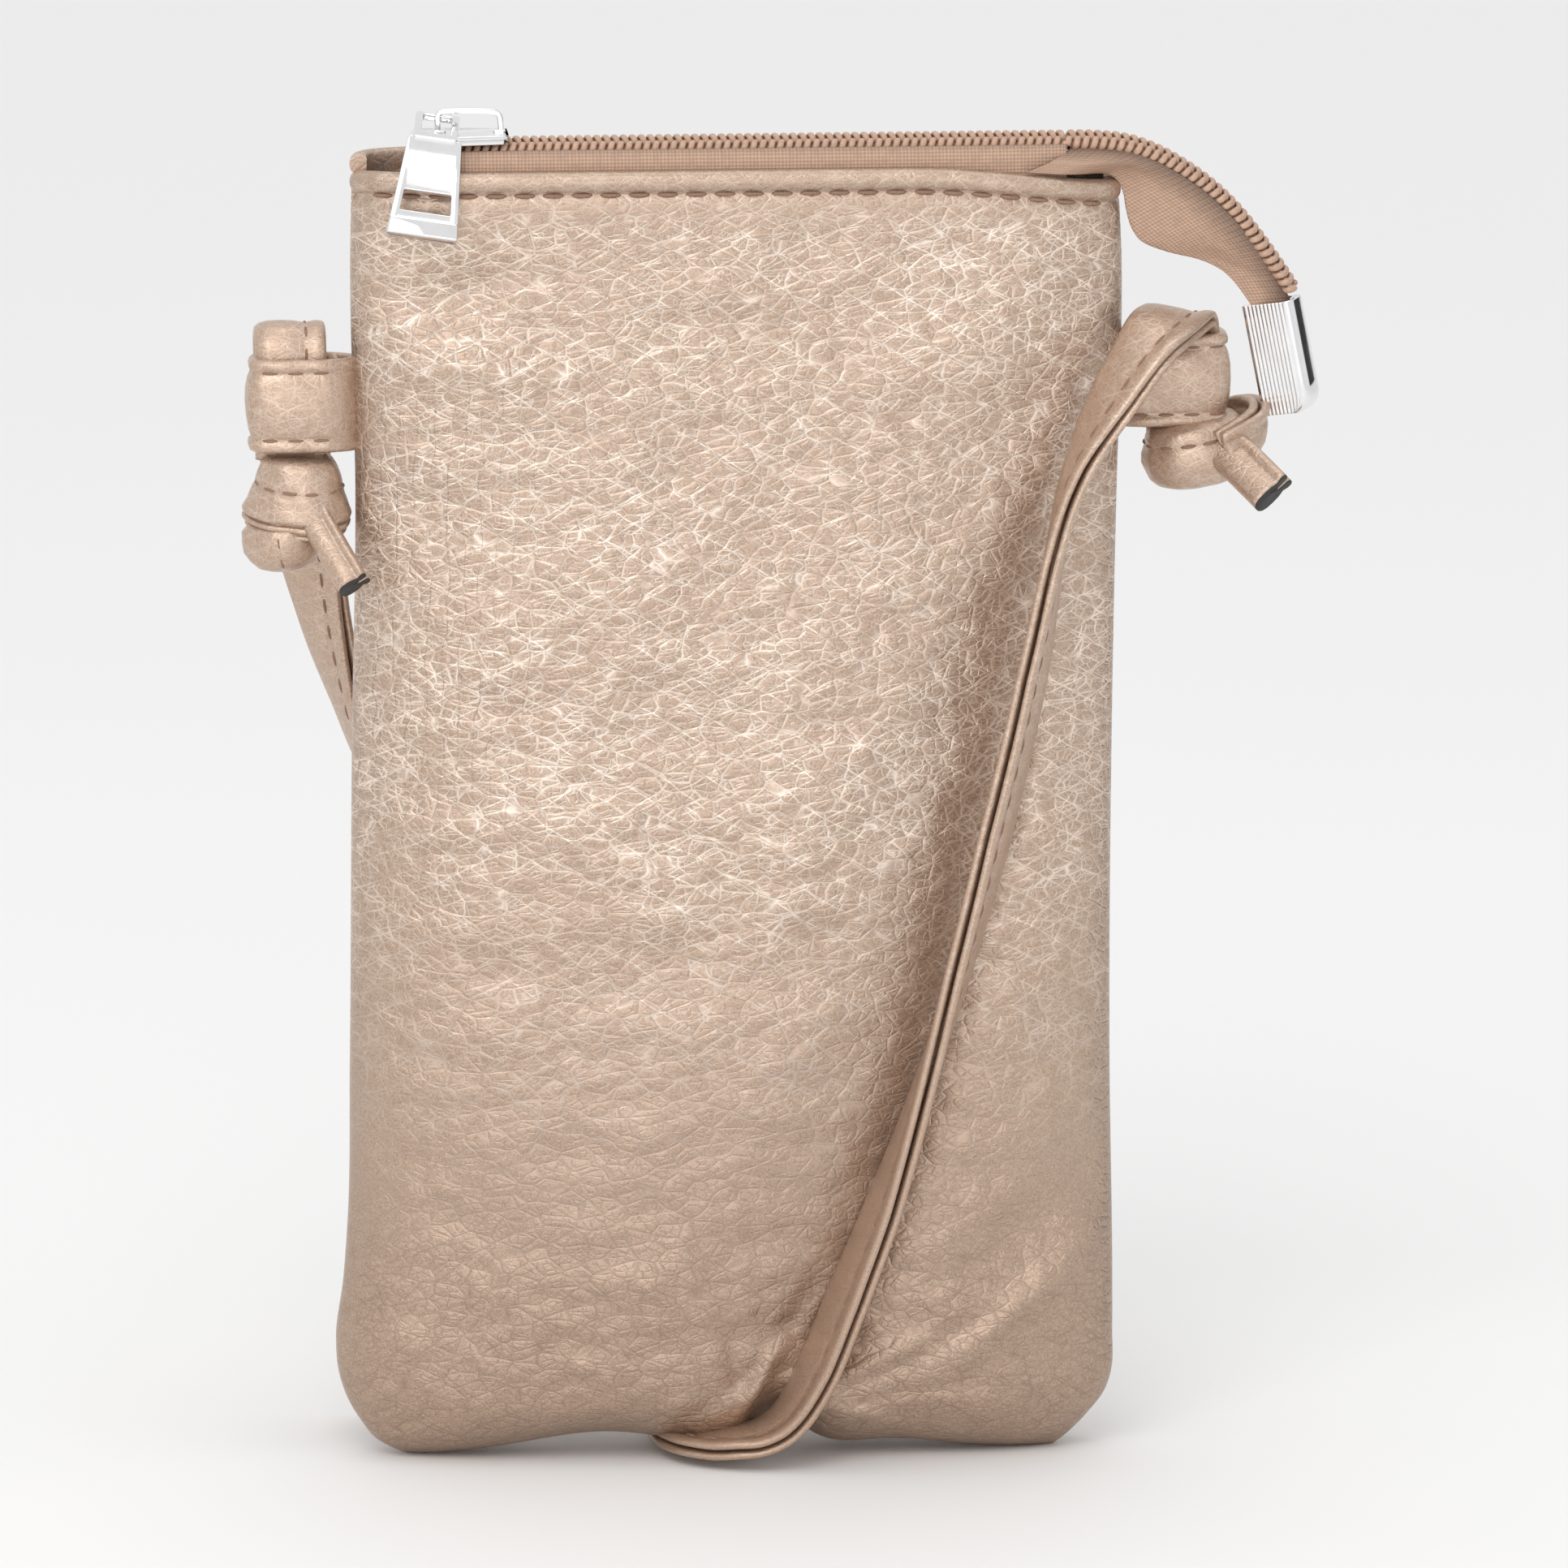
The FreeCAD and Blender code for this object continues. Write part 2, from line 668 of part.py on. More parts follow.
def make_tab(name, sign, base):
    """Folded loop of leather round the strap, sewn in the side seam."""
    near = TAB_ROOT
    far = TAB_ROOT + " + tab_length"
    spans = (near, far) if sign > 0 else ("-(%s)" % far, "-" + near)
    inner = (near + " + tab_wall", far + " - tab_wall")
    holes = inner if sign > 0 else ("-(%s)" % inner[1], "-(%s)" % inner[0])
    top = base + " + tab_height"
    half = "tab_thickness / 2"
    outer = block(name + "_outer", (spans[0], "-" + half, base), (spans[1], half, top))
    hole = block(
        name + "_hole",
        (holes[0], "-" + half + " + tab_wall", base + " - tab_wall"),
        (holes[1], half + " - tab_wall", top + " + tab_wall"),
    )
    doc.recompute()
    rounded = doc.addObject("Part::Fillet", name + "_rounded")
    rounded.Base = outer
    reach = max(sign * vertex.X for vertex in outer.Shape.Vertexes)
    chosen = []
    for index, edge in enumerate(outer.Shape.Edges, 1):
        tangent = edge.tangentAt(edge.FirstParameter)
        upright = abs(tangent.z) > abs(tangent.x)
        outward = all(abs(sign * vertex.X - reach) < size("tab_wall") for vertex in edge.Vertexes)
        if upright and outward:
            chosen.append((index, size("tab_round"), size("tab_round")))
    rounded.Edges = chosen
    node(cut(name, rounded, hole), name)


# Thread


def stitch(centre, along, outward):
    """One stitch lying on a surface."""
    length = size("stitch_length")
    thick = size("stitch_thickness")
    upward = outward.cross(along)
    seat = centre + outward * size("stitch_gap")
    corner = seat - along * (length / 2) - upward * (thick / 2)
    end = corner + along * length
    sides = [corner, end, end + upward * thick, corner + upward * thick]
    face = Part.Face(Part.makePolygon(sides + sides[:1]))
    return face.extrude(outward * thick)


def make_hem_stitches(name, sign):
    """A row of stitches along the lower edge of a hem."""
    top, side, corner, middle, shoulder = station(len(STATION_SHARES) - 1, -size("hem_raise"))
    level = top - size("hem_height") + size("stitch_edge")
    sag = middle - shoulder
    radius = (corner * corner + sag * sag) / (2 * sag)
    count = int(2 * corner / size("stitch_pitch"))
    stitches = []
    for index in range(count):
        x = (index - (count - 1) / 2) * size("stitch_pitch")
        angle = math.asin(x / radius)
        y = sign * (middle - radius + radius * math.cos(angle))
        outward = Vector(math.sin(angle), sign * math.cos(angle), 0)
        along = Vector(math.cos(angle), -sign * math.sin(angle), 0)
        stitches.append(stitch(Vector(x, y, level), along, outward))
    shaped(name, Part.makeCompound(stitches))


def make_tab_stitches(name, sign, base):
    """Two rows of stitches on both leaves of a strap loop."""
    root = size("pouch_width") * STATION_SHARES[4][1] / 2 + size("tab_gap")
    flat = size("tab_length") - size("tab_round")
    count = int(flat / size("stitch_pitch"))
    low = size(base) + size("tab_stitch_edge")
    high = size(base) + size("tab_height") - size("tab_stitch_edge")
    stitches = []
    for index in range(count):
        x = sign * (root + (index + 1 / 2) * flat / count)
        for z in (low, high):
            for side in (-1, 1):
                centre = Vector(x, side * size("tab_thickness") / 2, z)
                stitches.append(stitch(centre, Vector(1, 0, 0), Vector(0, side, 0)))
    shaped(name, Part.makeCompound(stitches))


# Strap


def hank_start():
    """Where the put-away length begins, at the foot of its middle run."""
    return Vector(size("hank_middle_x"), size("hank_depth_y"), size("hank_start_z"))


def hank_end():
    """Where the put-away length ends, behind the left edge of the pouch."""
    return Vector(size("hank_end_x"), size("hank_depth_y"), size("hank_end_z"))


def make_strap_run(name, points):
    """A stretch of strap along its points, with its width along X."""
    path, radii = rounded_path(points)
    wide = Vector(size("strap_width") / 2, 0, 0)
    thick = Vector(0, size("strap_thickness") / 2, 0)
    run = ribbon(path, rectangle(points[0], wide, thick), Vector(1, 0, 0))
    report_ribbon(name, run, path, radii, size("strap_width") * size("strap_thickness"))
    print("%s radii %s" % (name, " ".join("%.1f" % radius for radius in radii)))
    shaped(name, run)
    return path.Length


def sway(start, end):
    """Two equal arcs from one upright run to the next, as edges; a straight line if they are in line."""
    if abs(end.x - start.x) < size("hank_floor_gap"):
        return [Part.makeLine(start, end)]
    across = end.x - start.x
    rise = end.z - start.z
    radius = (across * across + rise * rise) / (4 * abs(across))
    half_angle = math.atan2(abs(across), abs(rise))
    lean = radius * (1 - math.cos(half_angle)) * math.copysign(1, across)
    climb = radius * math.sin(half_angle) * math.copysign(1, rise)
    middle = (start + end) / 2
    first = Vector(start.x + lean, start.y, start.z + climb)
    second = Vector(end.x - lean, end.y, end.z - climb)
    return [Part.Arc(start, first, middle).toShape(), Part.Arc(middle, second, end).toShape()]


def fold(start, end, upward):
    """Half a turn between the ends of two runs."""
    radius = abs(end.x - start.x) / 2
    crown = (start + end) / 2 + Vector(0, 0, radius * upward)
    return [Part.Arc(start, crown, end).toShape()]


def hank_path():
    """Five upright runs folded to and fro and drawn in at the waist.

    The runs stand, from left to right, at places -2 to 2. The strap comes up the middle run, and
    leaves at the top of the left one.
    """
    deep = size("hank_depth_y")
    pitch = 2 * size("hank_fold_radius")
    low = size("hank_floor_gap") + size("strap_thickness") / 2 + size("hank_fold_radius")

    def at(place, z):
        return Vector(size("hank_middle_x") + place * pitch, deep, z)

    def waist(place):
        x = size("hank_middle_x") + place * size("hank_waist_pitch")
        return Vector(x, deep, size("hank_waist_z"))

    inner_top = size("hank_inner_top_z")
    outer_top = size("hank_outer_top_z")
    edges = [Part.makeLine(hank_start(), at(0, inner_top))]
    edges += fold(at(0, inner_top), at(1, inner_top), 1)
    edges += sway(at(1, inner_top), waist(1)) + sway(waist(1), at(1, low))
    edges += fold(at(1, low), at(2, low), -1)
    edges += sway(at(2, low), waist(2)) + sway(waist(2), at(2, outer_top))
    edges += fold(at(2, outer_top), at(-1, outer_top), 1)
    edges += sway(at(-1, outer_top), waist(-1)) + sway(waist(-1), at(-1, low))
    edges += fold(at(-1, low), at(-2, low), -1)
    edges += sway(at(-2, low), waist(-2)) + sway(waist(-2), hank_end())
    return Part.Wire(edges)


def least_gap(path, thickness):
    """Least gap of a ribbon to itself, on points along its middle line."""
    count = int(path.Length / (thickness / 2))
    points = path.discretize(Number=count)
    step = path.Length / (count - 1)
    apart = int(math.pi * size("hank_fold_radius") / 2 / step)
    gaps = []
    for index, point in enumerate(points):
        for other in points[index + apart:]:
            gaps.append(point.distanceToPoint(other))
    return min(gaps) - thickness


def make_hank():
    path = hank_path()
    thick = size("strap_thickness")
    start = path.Edges[0].Vertexes[0].Point
    section = rectangle(start, Vector(thick / 2, 0, 0), Vector(0, size("strap_width") / 2, 0))
    hank = ribbon(path, section, Vector(0, 1, 0))
    print("strap_hank least gap to itself %.2f" % least_gap(path, thick))
    report_ribbon("strap_hank", hank, path, [size("hank_fold_radius")], thick * size("strap_width"))
    shaped("strap_hank", hank)
    left = "hank_middle_x - 2 * hank_waist_pitch - strap_thickness / 2 - tie_clearance"
    right = "hank_middle_x + 2 * hank_waist_pitch + strap_thickness / 2 + tie_clearance"
    near = "hank_depth_y - strap_width / 2 - tie_clearance"
    far = "hank_depth_y + strap_width / 2 + tie_clearance"
    low = "hank_waist_z - tie_height / 2"
    high = "hank_waist_z + tie_height / 2"
    grown = " - tie_thickness"
    added = " + tie_thickness"
    outer = block("tie_outer", (left + grown, near + grown, low), (right + added, far + added, high))
    inner = block("tie_inner", (left, near, low + grown), (right, far, high + added))
    node(cut("hank_tie", outer, inner), "hank_tie")
    return path.Length


def make_knot(name, x, top):
    """Stopper knot: a turned barrel with a wrap round its upper half."""
    radius = size("knot_radius")
    height = size("knot_height")
    points = [Vector(x + r * radius, 0, top - h * height) for r, h in KNOT_SHARES]
    face = Part.Face(Part.makePolygon(points + points[:1]))
    return shaped(name, face.revolve(Vector(x, 0, top), Vector(0, 0, 1), 360))


def make_tip(name, knot, x, top, tilt, forward):
    """Cut end of the strap that sticks out of the knot, down to the right and towards the front."""
    strip = doc.addObject("Part::Box", name + "_strip")
    bind(strip, Length="tip_width", Width="strap_thickness", Height="knot_height / 2 + tip_length")
    turn = Rotation(Vector(0, 0, 1), -forward).multiply(Rotation(Vector(0, 1, 0), 180 - tilt))
    corner = Vector(-size("tip_width") / 2, -size("strap_thickness") / 2, 0)
    start = Vector(x, 0, top - size("knot_height") / 2)
    strip.Placement = FreeCAD.Placement(start + turn.multVec(corner), turn)
    node(cut(name, strip, knot), name)


make_panels()
make_linings()
for side_name, side_sign in (("front", -1), ("back", 1)):
    make_zip_tape(side_name + "_zip_tape", side_sign)
    make_zip_coil(side_name + "_zip_coil", side_sign)
    make_hem_stitches(side_name + "_hem_stitches", side_sign)
make_slider()
make_pull()
make_tail()
for side_name, side_sign in (("left", -1), ("right", 1)):
    make_tab(side_name + "_tab", side_sign, side_name + "_tab_base")
    make_tab_stitches(side_name + "_tab_stitches", side_sign, side_name + "_tab_base")
front_points = [Vector(*point) for point in FRONT_ROUTE] + [hank_start()]
back_points = [hank_end()] + [Vector(*point) for point in BACK_ROUTE]
strap_length = make_strap_run("strap_front_run", front_points)
strap_length += make_hank()
strap_length += make_strap_run("strap_back_run", back_points)
print("strap length between the knots %.0f" % strap_length)
for side_name, seat in (("right", front_points[0]), ("left", back_points[-1])):
    knot = make_knot(side_name + "_strap_knot", seat.x, seat.z)
    tip_turn = size(side_name + "_tip_tilt"), size(side_name + "_tip_forward")
    make_tip(side_name + "_strap_tip", knot, seat.x, seat.z, *tip_turn)

doc.recompute()
for obj in doc.Objects:
    if "Invalid" in obj.State or "Error" in obj.State:
        raise RuntimeError("%s did not build" % obj.Label)
for piece in NODES:
    if piece.Shape.isNull() or not piece.Shape.isValid() or not piece.Shape.Solids:
        raise RuntimeError("%s has no sound solid" % piece.Label)

os.makedirs("parts", exist_ok=True)
for piece in NODES:
    piece.Shape.exportStep(os.path.join("parts", piece.Label + ".step"))
print("%d nodes written" % len(NODES))
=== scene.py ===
"""Looks of the phone pouch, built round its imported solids.

The row frame is used throughout: +Z up, the front faces -Y, +X to the right of someone who
looks at the front. Shapes are worked out in millimetres and handed over in metres.
"""
from math import cos, pi, radians, sin, sqrt

import bmesh
import bpy
import numpy as np
from mathutils import Matrix, Vector


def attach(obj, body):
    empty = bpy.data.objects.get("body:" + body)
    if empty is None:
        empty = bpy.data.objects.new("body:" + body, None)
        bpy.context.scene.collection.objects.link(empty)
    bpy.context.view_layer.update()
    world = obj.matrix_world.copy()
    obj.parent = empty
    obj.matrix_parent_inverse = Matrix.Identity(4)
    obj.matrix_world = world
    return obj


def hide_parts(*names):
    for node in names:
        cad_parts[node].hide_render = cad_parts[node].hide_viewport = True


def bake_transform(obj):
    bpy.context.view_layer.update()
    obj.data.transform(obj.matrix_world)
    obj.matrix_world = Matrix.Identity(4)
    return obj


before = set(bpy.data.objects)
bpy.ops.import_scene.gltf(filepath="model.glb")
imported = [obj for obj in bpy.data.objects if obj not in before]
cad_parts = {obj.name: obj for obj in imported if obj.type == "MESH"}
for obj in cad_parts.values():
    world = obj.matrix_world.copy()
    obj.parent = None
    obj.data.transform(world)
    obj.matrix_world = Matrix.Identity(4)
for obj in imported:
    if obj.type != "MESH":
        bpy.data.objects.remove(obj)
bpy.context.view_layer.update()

MM = 0.001

# Driving dimensions, mm
POUCH_HEIGHT = 184.3
LEATHER = 1.2
HEM_HEIGHT = 3.3
STITCH_LEVEL = POUCH_HEIGHT - HEM_HEIGHT
ZIP_LEVEL = 187.0
STRAP_HALF_WIDTH = 5.0
STRAP_HALF_THICK = 1.4
STITCH_PITCH = 4.0
TO_BACK = np.array((0.0, 1.0, 0.0))


# Fields and lines


def smooth(low, high, value):
    """Smooth step from 0 at low to 1 at high."""
    t = np.clip((np.asarray(value, float) - low) / (high - low), 0, 1)
    return t * t * (3 - 2 * t)


def hump(value, centre, reach):
    """Rounded ridge of height one."""
    return np.exp(-((value - centre) / reach) ** 2)


def waves(seed, scale, count=14):
    """A smooth random field of two coordinates, about one high, from a sum of waves."""
    draw = np.random.RandomState(seed)
    angle = draw.uniform(0, pi, count)
    size = draw.uniform(0.6, 1.7, count) / scale
    phase = draw.uniform(0, 2 * pi, count)
    gain = draw.uniform(0.5, 1, count)
    gain = gain / sqrt(float(np.sum(gain ** 2)) / 2)

    def wave(x, z, a, s, p, g):
        return g * np.sin(2 * pi * s * (x * cos(a) + z * sin(a)) + p)

    return lambda x, z: sum(wave(x, z, *row) for row in zip(angle, size, phase, gain))


def along(rows, z, column=1):
    """Value of a table at a height, on smooth curves between its rows."""
    xs, ys = np.array(rows, float).T[[0, column]]
    slope = np.gradient(ys, xs)
    z = np.clip(z, xs[0], xs[-1])
    i = np.clip(np.searchsorted(xs, z) - 1, 0, len(xs) - 2)
    h = xs[i + 1] - xs[i]
    t = (z - xs[i]) / h
    a = (2 * t ** 3 - 3 * t ** 2 + 1) * ys[i] + (t ** 3 - 2 * t ** 2 + t) * h * slope[i]
    return a + (-2 * t ** 3 + 3 * t ** 2) * ys[i + 1] + (t ** 3 - t ** 2) * h * slope[i + 1]


def unit(vectors, guard=0.0):
    return vectors / (np.linalg.norm(vectors, axis=1)[:, None] + guard)


def directions(points):
    """Unit tangents along a line of points."""
    return unit(np.gradient(points, axis=0))


def cross_directions(points, across):
    """Unit directions across a line, nearest to those given, and the ones square to both."""
    tangent = directions(points)
    wide = unit(across - tangent * np.sum(across * tangent, axis=1)[:, None])
    return wide, np.cross(tangent, wide)


def arc_length(points):
    """Length along a line of points, at each point."""
    steps = np.linalg.norm(np.diff(points, axis=0), axis=1)
    return np.concatenate([[0], np.cumsum(steps)])


def at_length(line, run, s):
    """Values of a line's columns at lengths along it."""
    return np.column_stack([np.interp(s, run, column) for column in line.T])


def in_plane(flat, height):
    """Points of a flat outline at a height."""
    return np.column_stack([flat, np.full(len(flat), height)])


def moved(points, turn, shift=(0.0, 0.0, 0.0)):
    return np.asarray(points, float) @ np.array(turn).T + np.array(shift)


def turned(degrees, axis):
    return Matrix.Rotation(radians(degrees), 3, axis)


def full_turn(count):
    return np.linspace(0, 2 * pi, count, endpoint=False)


def on_circle(angle):
    """Points of the unit circle."""
    return np.column_stack([np.cos(angle), np.sin(angle)])


def box_outline(x0, x1, y0, y1):
    return [(x0, y0), (x1, y0), (x1, y1), (x0, y1)]


def rounded(corners, radius, steps):
    """Outline with its corners rounded."""
    corners = np.array(corners, float)
    out = []
    for before, here, after in zip(np.roll(corners, 1, 0), corners, np.roll(corners, -1, 0)):
        start = here + (before - here) / np.linalg.norm(before - here) * radius
        end = here + (after - here) / np.linalg.norm(after - here) * radius
        for t in np.linspace(0, 1, steps + 1):
            out.append((1 - t) ** 2 * start + 2 * t * (1 - t) * here + t ** 2 * end)
    return np.array(out)


def left_of(tangent):
    """Directions square to a flat line, on its left."""
    return np.column_stack([-tangent[:, 1], tangent[:, 0]])


def drawn_in(outline, distance):
    """Outline moved inwards by a distance."""
    tiny = 1e-9
    ahead = np.roll(outline, -1, axis=0) - outline
    back = outline - np.roll(outline, 1, axis=0)
    tangent = unit(unit(ahead, tiny) + unit(back, tiny), tiny)
    area = np.sum(outline[:, 0] * np.roll(outline[:, 1], -1) - np.roll(outline[:, 0], -1) * outline[:, 1])
    return outline + left_of(tangent) * (distance if area > 0 else -distance)


# Meshes and pieces. A shape is a pair of points and faces.


def link_object(name, data):
    item = bpy.data.objects.new(name, data)
    bpy.context.scene.collection.objects.link(item)
    return item


def mesh_object(name, shape, material):
    """A smooth mesh from a shape in millimetres."""
    points, faces = shape
    mesh = bpy.data.meshes.new(name)
    mesh.from_pydata((np.asarray(points, float) * MM).tolist(), [], faces)
    mesh.validate()
    mesh.update()
    mesh.materials.append(material)
    mesh.polygons.foreach_set("use_smooth", [True] * len(mesh.polygons))
    return link_object(name, mesh)


def outward_faces(piece):
    """Turn all faces of a piece outwards."""
    shape = bmesh.new()
    shape.from_mesh(piece.data)
    bmesh.ops.recalc_face_normals(shape, faces=shape.faces)
    shape.to_mesh(piece.data)
    shape.free()


def make_piece(name, shape, material, slot, *nodes, body="pouch", bends=False):
    """A piece that stands for nodes of the frame: it rides on a body, or, on the free zip end, keeps its
    place with its transform baked in.
    """
    piece = mesh_object(name, shape, material)
    outward_faces(piece)
    if bends:
        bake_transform(piece)
    else:
        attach(piece, body)
    if nodes:
        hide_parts(*nodes)
    return piece


def make_metal(name, shape, node, body):
    make_piece(name, shape, CHROME_LOOK, "bright_metal", node, body=body)


def lay_out(piece, flat):
    """Flat coordinates in millimetres for each point of a cloth, for the run of its weave."""
    layer = piece.data.uv_layers.new(name="weave")
    index = [loop.vertex_index for loop in piece.data.loops]
    layer.data.foreach_set("uv", (np.asarray(flat, float)[index] * MM).ravel())


def spline_points(control, resolution=12):
    """Points of a quadratic NURBS curve that follows its control points, in millimetres."""
    curve = bpy.data.curves.new("route", "CURVE")
    curve.dimensions = "3D"
    curve.resolution_u = resolution
    spline = curve.splines.new("NURBS")
    spline.points.add(len(control) - 1)
    for point, (x, y, z) in zip(spline.points, control):
        point.co = (x * MM, y * MM, z * MM, 1)
    spline.order_u = 3
    spline.use_endpoint_u = True
    holder = link_object("route", curve)
    bpy.context.view_layer.update()
    mesh = bpy.data.meshes.new_from_object(holder)
    points = np.array([vertex.co[:] for vertex in mesh.vertices]) / MM
    bpy.data.meshes.remove(mesh)
    bpy.data.curves.remove(curve)
    return points


def grid_shape(grid, wrap_rows=False, wrap_columns=False):
    """Shape of a grid of points, with quads between its rows and columns."""
    grid = np.asarray(grid, float)
    rows, columns = grid.shape[:2]
    faces = []
    for i in range(rows if wrap_rows else rows - 1):
        here = i * columns
        there = (i + 1) % rows * columns
        for j in range(columns if wrap_columns else columns - 1):
            k = (j + 1) % columns
            faces.append((here + j, here + k, there + k, there + j))
    return grid.reshape(-1, 3), faces


def loft(rings):
    """Shape through closed rings of equal count, with flat ends."""
    points, faces = grid_shape(rings, wrap_columns=True)
    count = len(rings[0])
    faces.append(tuple(reversed(range(count))))
    faces.append(tuple(range(len(points) - count, len(points))))
    return points, faces


def sections(points, across, section):
    """Shape of one section, or one for each point, carried along a line.

    across gives, at each point, the direction of the section's first coordinate.
    """
    wide, thick = cross_directions(points, across)
    section = np.broadcast_to(section, (len(points),) + np.shape(section)[-2:])
    return loft(points[:, None] + wide[:, None] * section[:, :, :1] + thick[:, None] * section[:, :, 1:])


def merge(shapes):
    """Several shapes made one."""
    points = []
    faces = []
    for part_points, part_faces in shapes:
        start = len(points)
        points.extend(np.asarray(part_points, float).tolist())
        faces.extend(tuple(start + i for i in face) for face in part_faces)
    return points, faces


def stitch_row(line, outward, pitch=STITCH_PITCH, length=2.9, radius=0.27, rise=0.2):
    """A row of stitches along a line on a surface: each rises in its middle and dives at its ends."""
    dive = 0.25
    taper = 0.35
    run = arc_length(line)
    count = int((run[-1] - length) / pitch) + 1
    first = (run[-1] - (count - 1) * pitch) / 2
    share = np.linspace(-1, 1, 7)
    section = on_circle(full_turn(8)) * (radius * (1 - taper * share ** 4))[:, None, None]
    stitches = []
    for k in range(count):
        s = first + k * pitch + share * length / 2
        normal = unit(at_length(outward, run, s))
        core = at_length(line, run, s) + normal * (rise * (1 - share ** 2) - dive * share ** 4)[:, None]
        stitches.append(sections(core, normal, section))
    return merge(stitches)


def bevel_steps(low, high, bevel):
    """Heights of a plate's rings, and how far each is drawn in."""
    near = bevel * 0.3
    lower = ((low, bevel), (low + near, near), (low + bevel, 0))
    return lower + ((high - bevel, 0), (high - near, near), (high, bevel))


def plate(outline, low, high, bevel):
    """A plate with bevelled rims: rings of an outline in the first two coordinates."""
    return loft([in_plane(drawn_in(outline, inset), z) for z, inset in bevel_steps(low, high, bevel)])


def holed_plate(outer, inner, low, high, bevel):
    """A plate with a hole, both rims bevelled; the two outlines have as many points."""
    steps = bevel_steps(low, high, bevel)
    rings = [in_plane(drawn_in(outer, inset), z) for z, inset in steps]
    rings += [in_plane(drawn_in(inner, -inset), z) for z, inset in reversed(steps)]
    return grid_shape(rings, wrap_rows=True, wrap_columns=True)


# Materials

# Spacing of a wave texture's bands at scale one
WAVE_SPACING = pi / 10
# Creases of the leather cloth, coloured with painted highlight and painted shade: tilt, spacing share,
# wander, phase, strength
CREASES = ((27, 1.2, 2.4, 0.3, 1.0), (-31, 1.3, 2.4, 2.1, 1.0), (3, 1.1, 3.0, 4.4, 0.7))
# Its nets of cells: width share, height share, seed, wobble, line share, strength
NETS = (
    (1.25, 0.75, 0.3, 0.16, 0.035, 1), (0.62, 0.42, 5.1, 0.16, 0.045, 0.75),
    (0.30, 0.24, 9.4, 0.2, 0.05, 0.4),
)


def feed(item, **values):
    """Set a node's properties, in small letters, and its inputs.

    An input takes a value, another node's output, or a node, which stands for its first output.
    """
    for name, value in values.items():
        if isinstance(value, bpy.types.Node):
            value = value.outputs[0]
        if name.islower():
            setattr(item, name, value)
        elif isinstance(value, bpy.types.NodeSocket):
            item.id_data.links.new(value, item.inputs[name.replace("_", " ")])
        else:
            item.inputs[name.replace("_", " ")].default_value = value


def add(near, kind, **values):
    """A shader node in the tree that a node or socket belongs to."""
    item = near.id_data.nodes.new("ShaderNode" + kind)
    feed(item, **values)
    return item


def new_material(name):
    """A material, its shader and the place on the object."""
    material = bpy.data.materials.new(name)
    material.use_nodes = True
    shader = material.node_tree.nodes["Principled BSDF"]
    return material, shader, add(shader, "TexCoord").outputs["Object"]


def ramp(source, *stops):
    """A colour ramp fed by a socket; a stop is a place with a grey or a colour."""
    item = add(source, "ValToRGB", Fac=source)
    elements = item.color_ramp.elements
    while len(elements) < len(stops):
        elements.new(0.5)
    for element, (place, colour) in zip(elements, stops):
        element.position = place
        element.color = (*(colour if np.ndim(colour) else (colour,) * 3), 1)
    return item.outputs["Color"]


def noise(place, scale, detail):
    return add(place, "TexNoise", Vector=place, Scale=scale, Detail=detail).outputs["Fac"]


def joined(operation, first, *others):
    """Sockets joined one after another by a calculation."""
    for other in others:
        item = add(first, "Math", operation=operation)
        for socket, value in zip(item.inputs, (first, other)):
            item.id_data.links.new(value, socket)
        first = item.outputs[0]
    return first


def crease_family(place, tilt, spacing, wander, phase):
    """Wandering parallel lines at a tilt from the level, as a wave that peaks on the lines."""
    turn = add(place, "Mapping", Vector=place, Rotation=(0, radians(tilt), 0))
    wave = add(
        place, "TexWave", bands_direction="Z", Vector=turn, Scale=WAVE_SPACING / (spacing * MM),
        Distortion=wander, Detail=2.5, Detail_Scale=1.1, Phase_Offset=phase,
    )
    return wave.outputs["Fac"]


def cell_net(place, width, height, seed, wobble):
    """Edges of stretched cells: 0 on an edge, rising inwards."""
    scale = (1 / (width * MM), 1 / (height * MM), 1 / (height * MM))
    shape = add(place, "Mapping", Vector=place, Scale=scale, Location=(seed,) * 3)
    drift = add(place, "TexNoise", Vector=shape, Scale=0.9, Detail=2).outputs["Color"]
    warp = add(place, "MixRGB", blend_type="LINEAR_LIGHT", Fac=wobble, Color1=shape, Color2=drift)
    net = add(place, "TexVoronoi", feature="DISTANCE_TO_EDGE", Scale=1, Vector=warp)
    return net.outputs["Distance"]


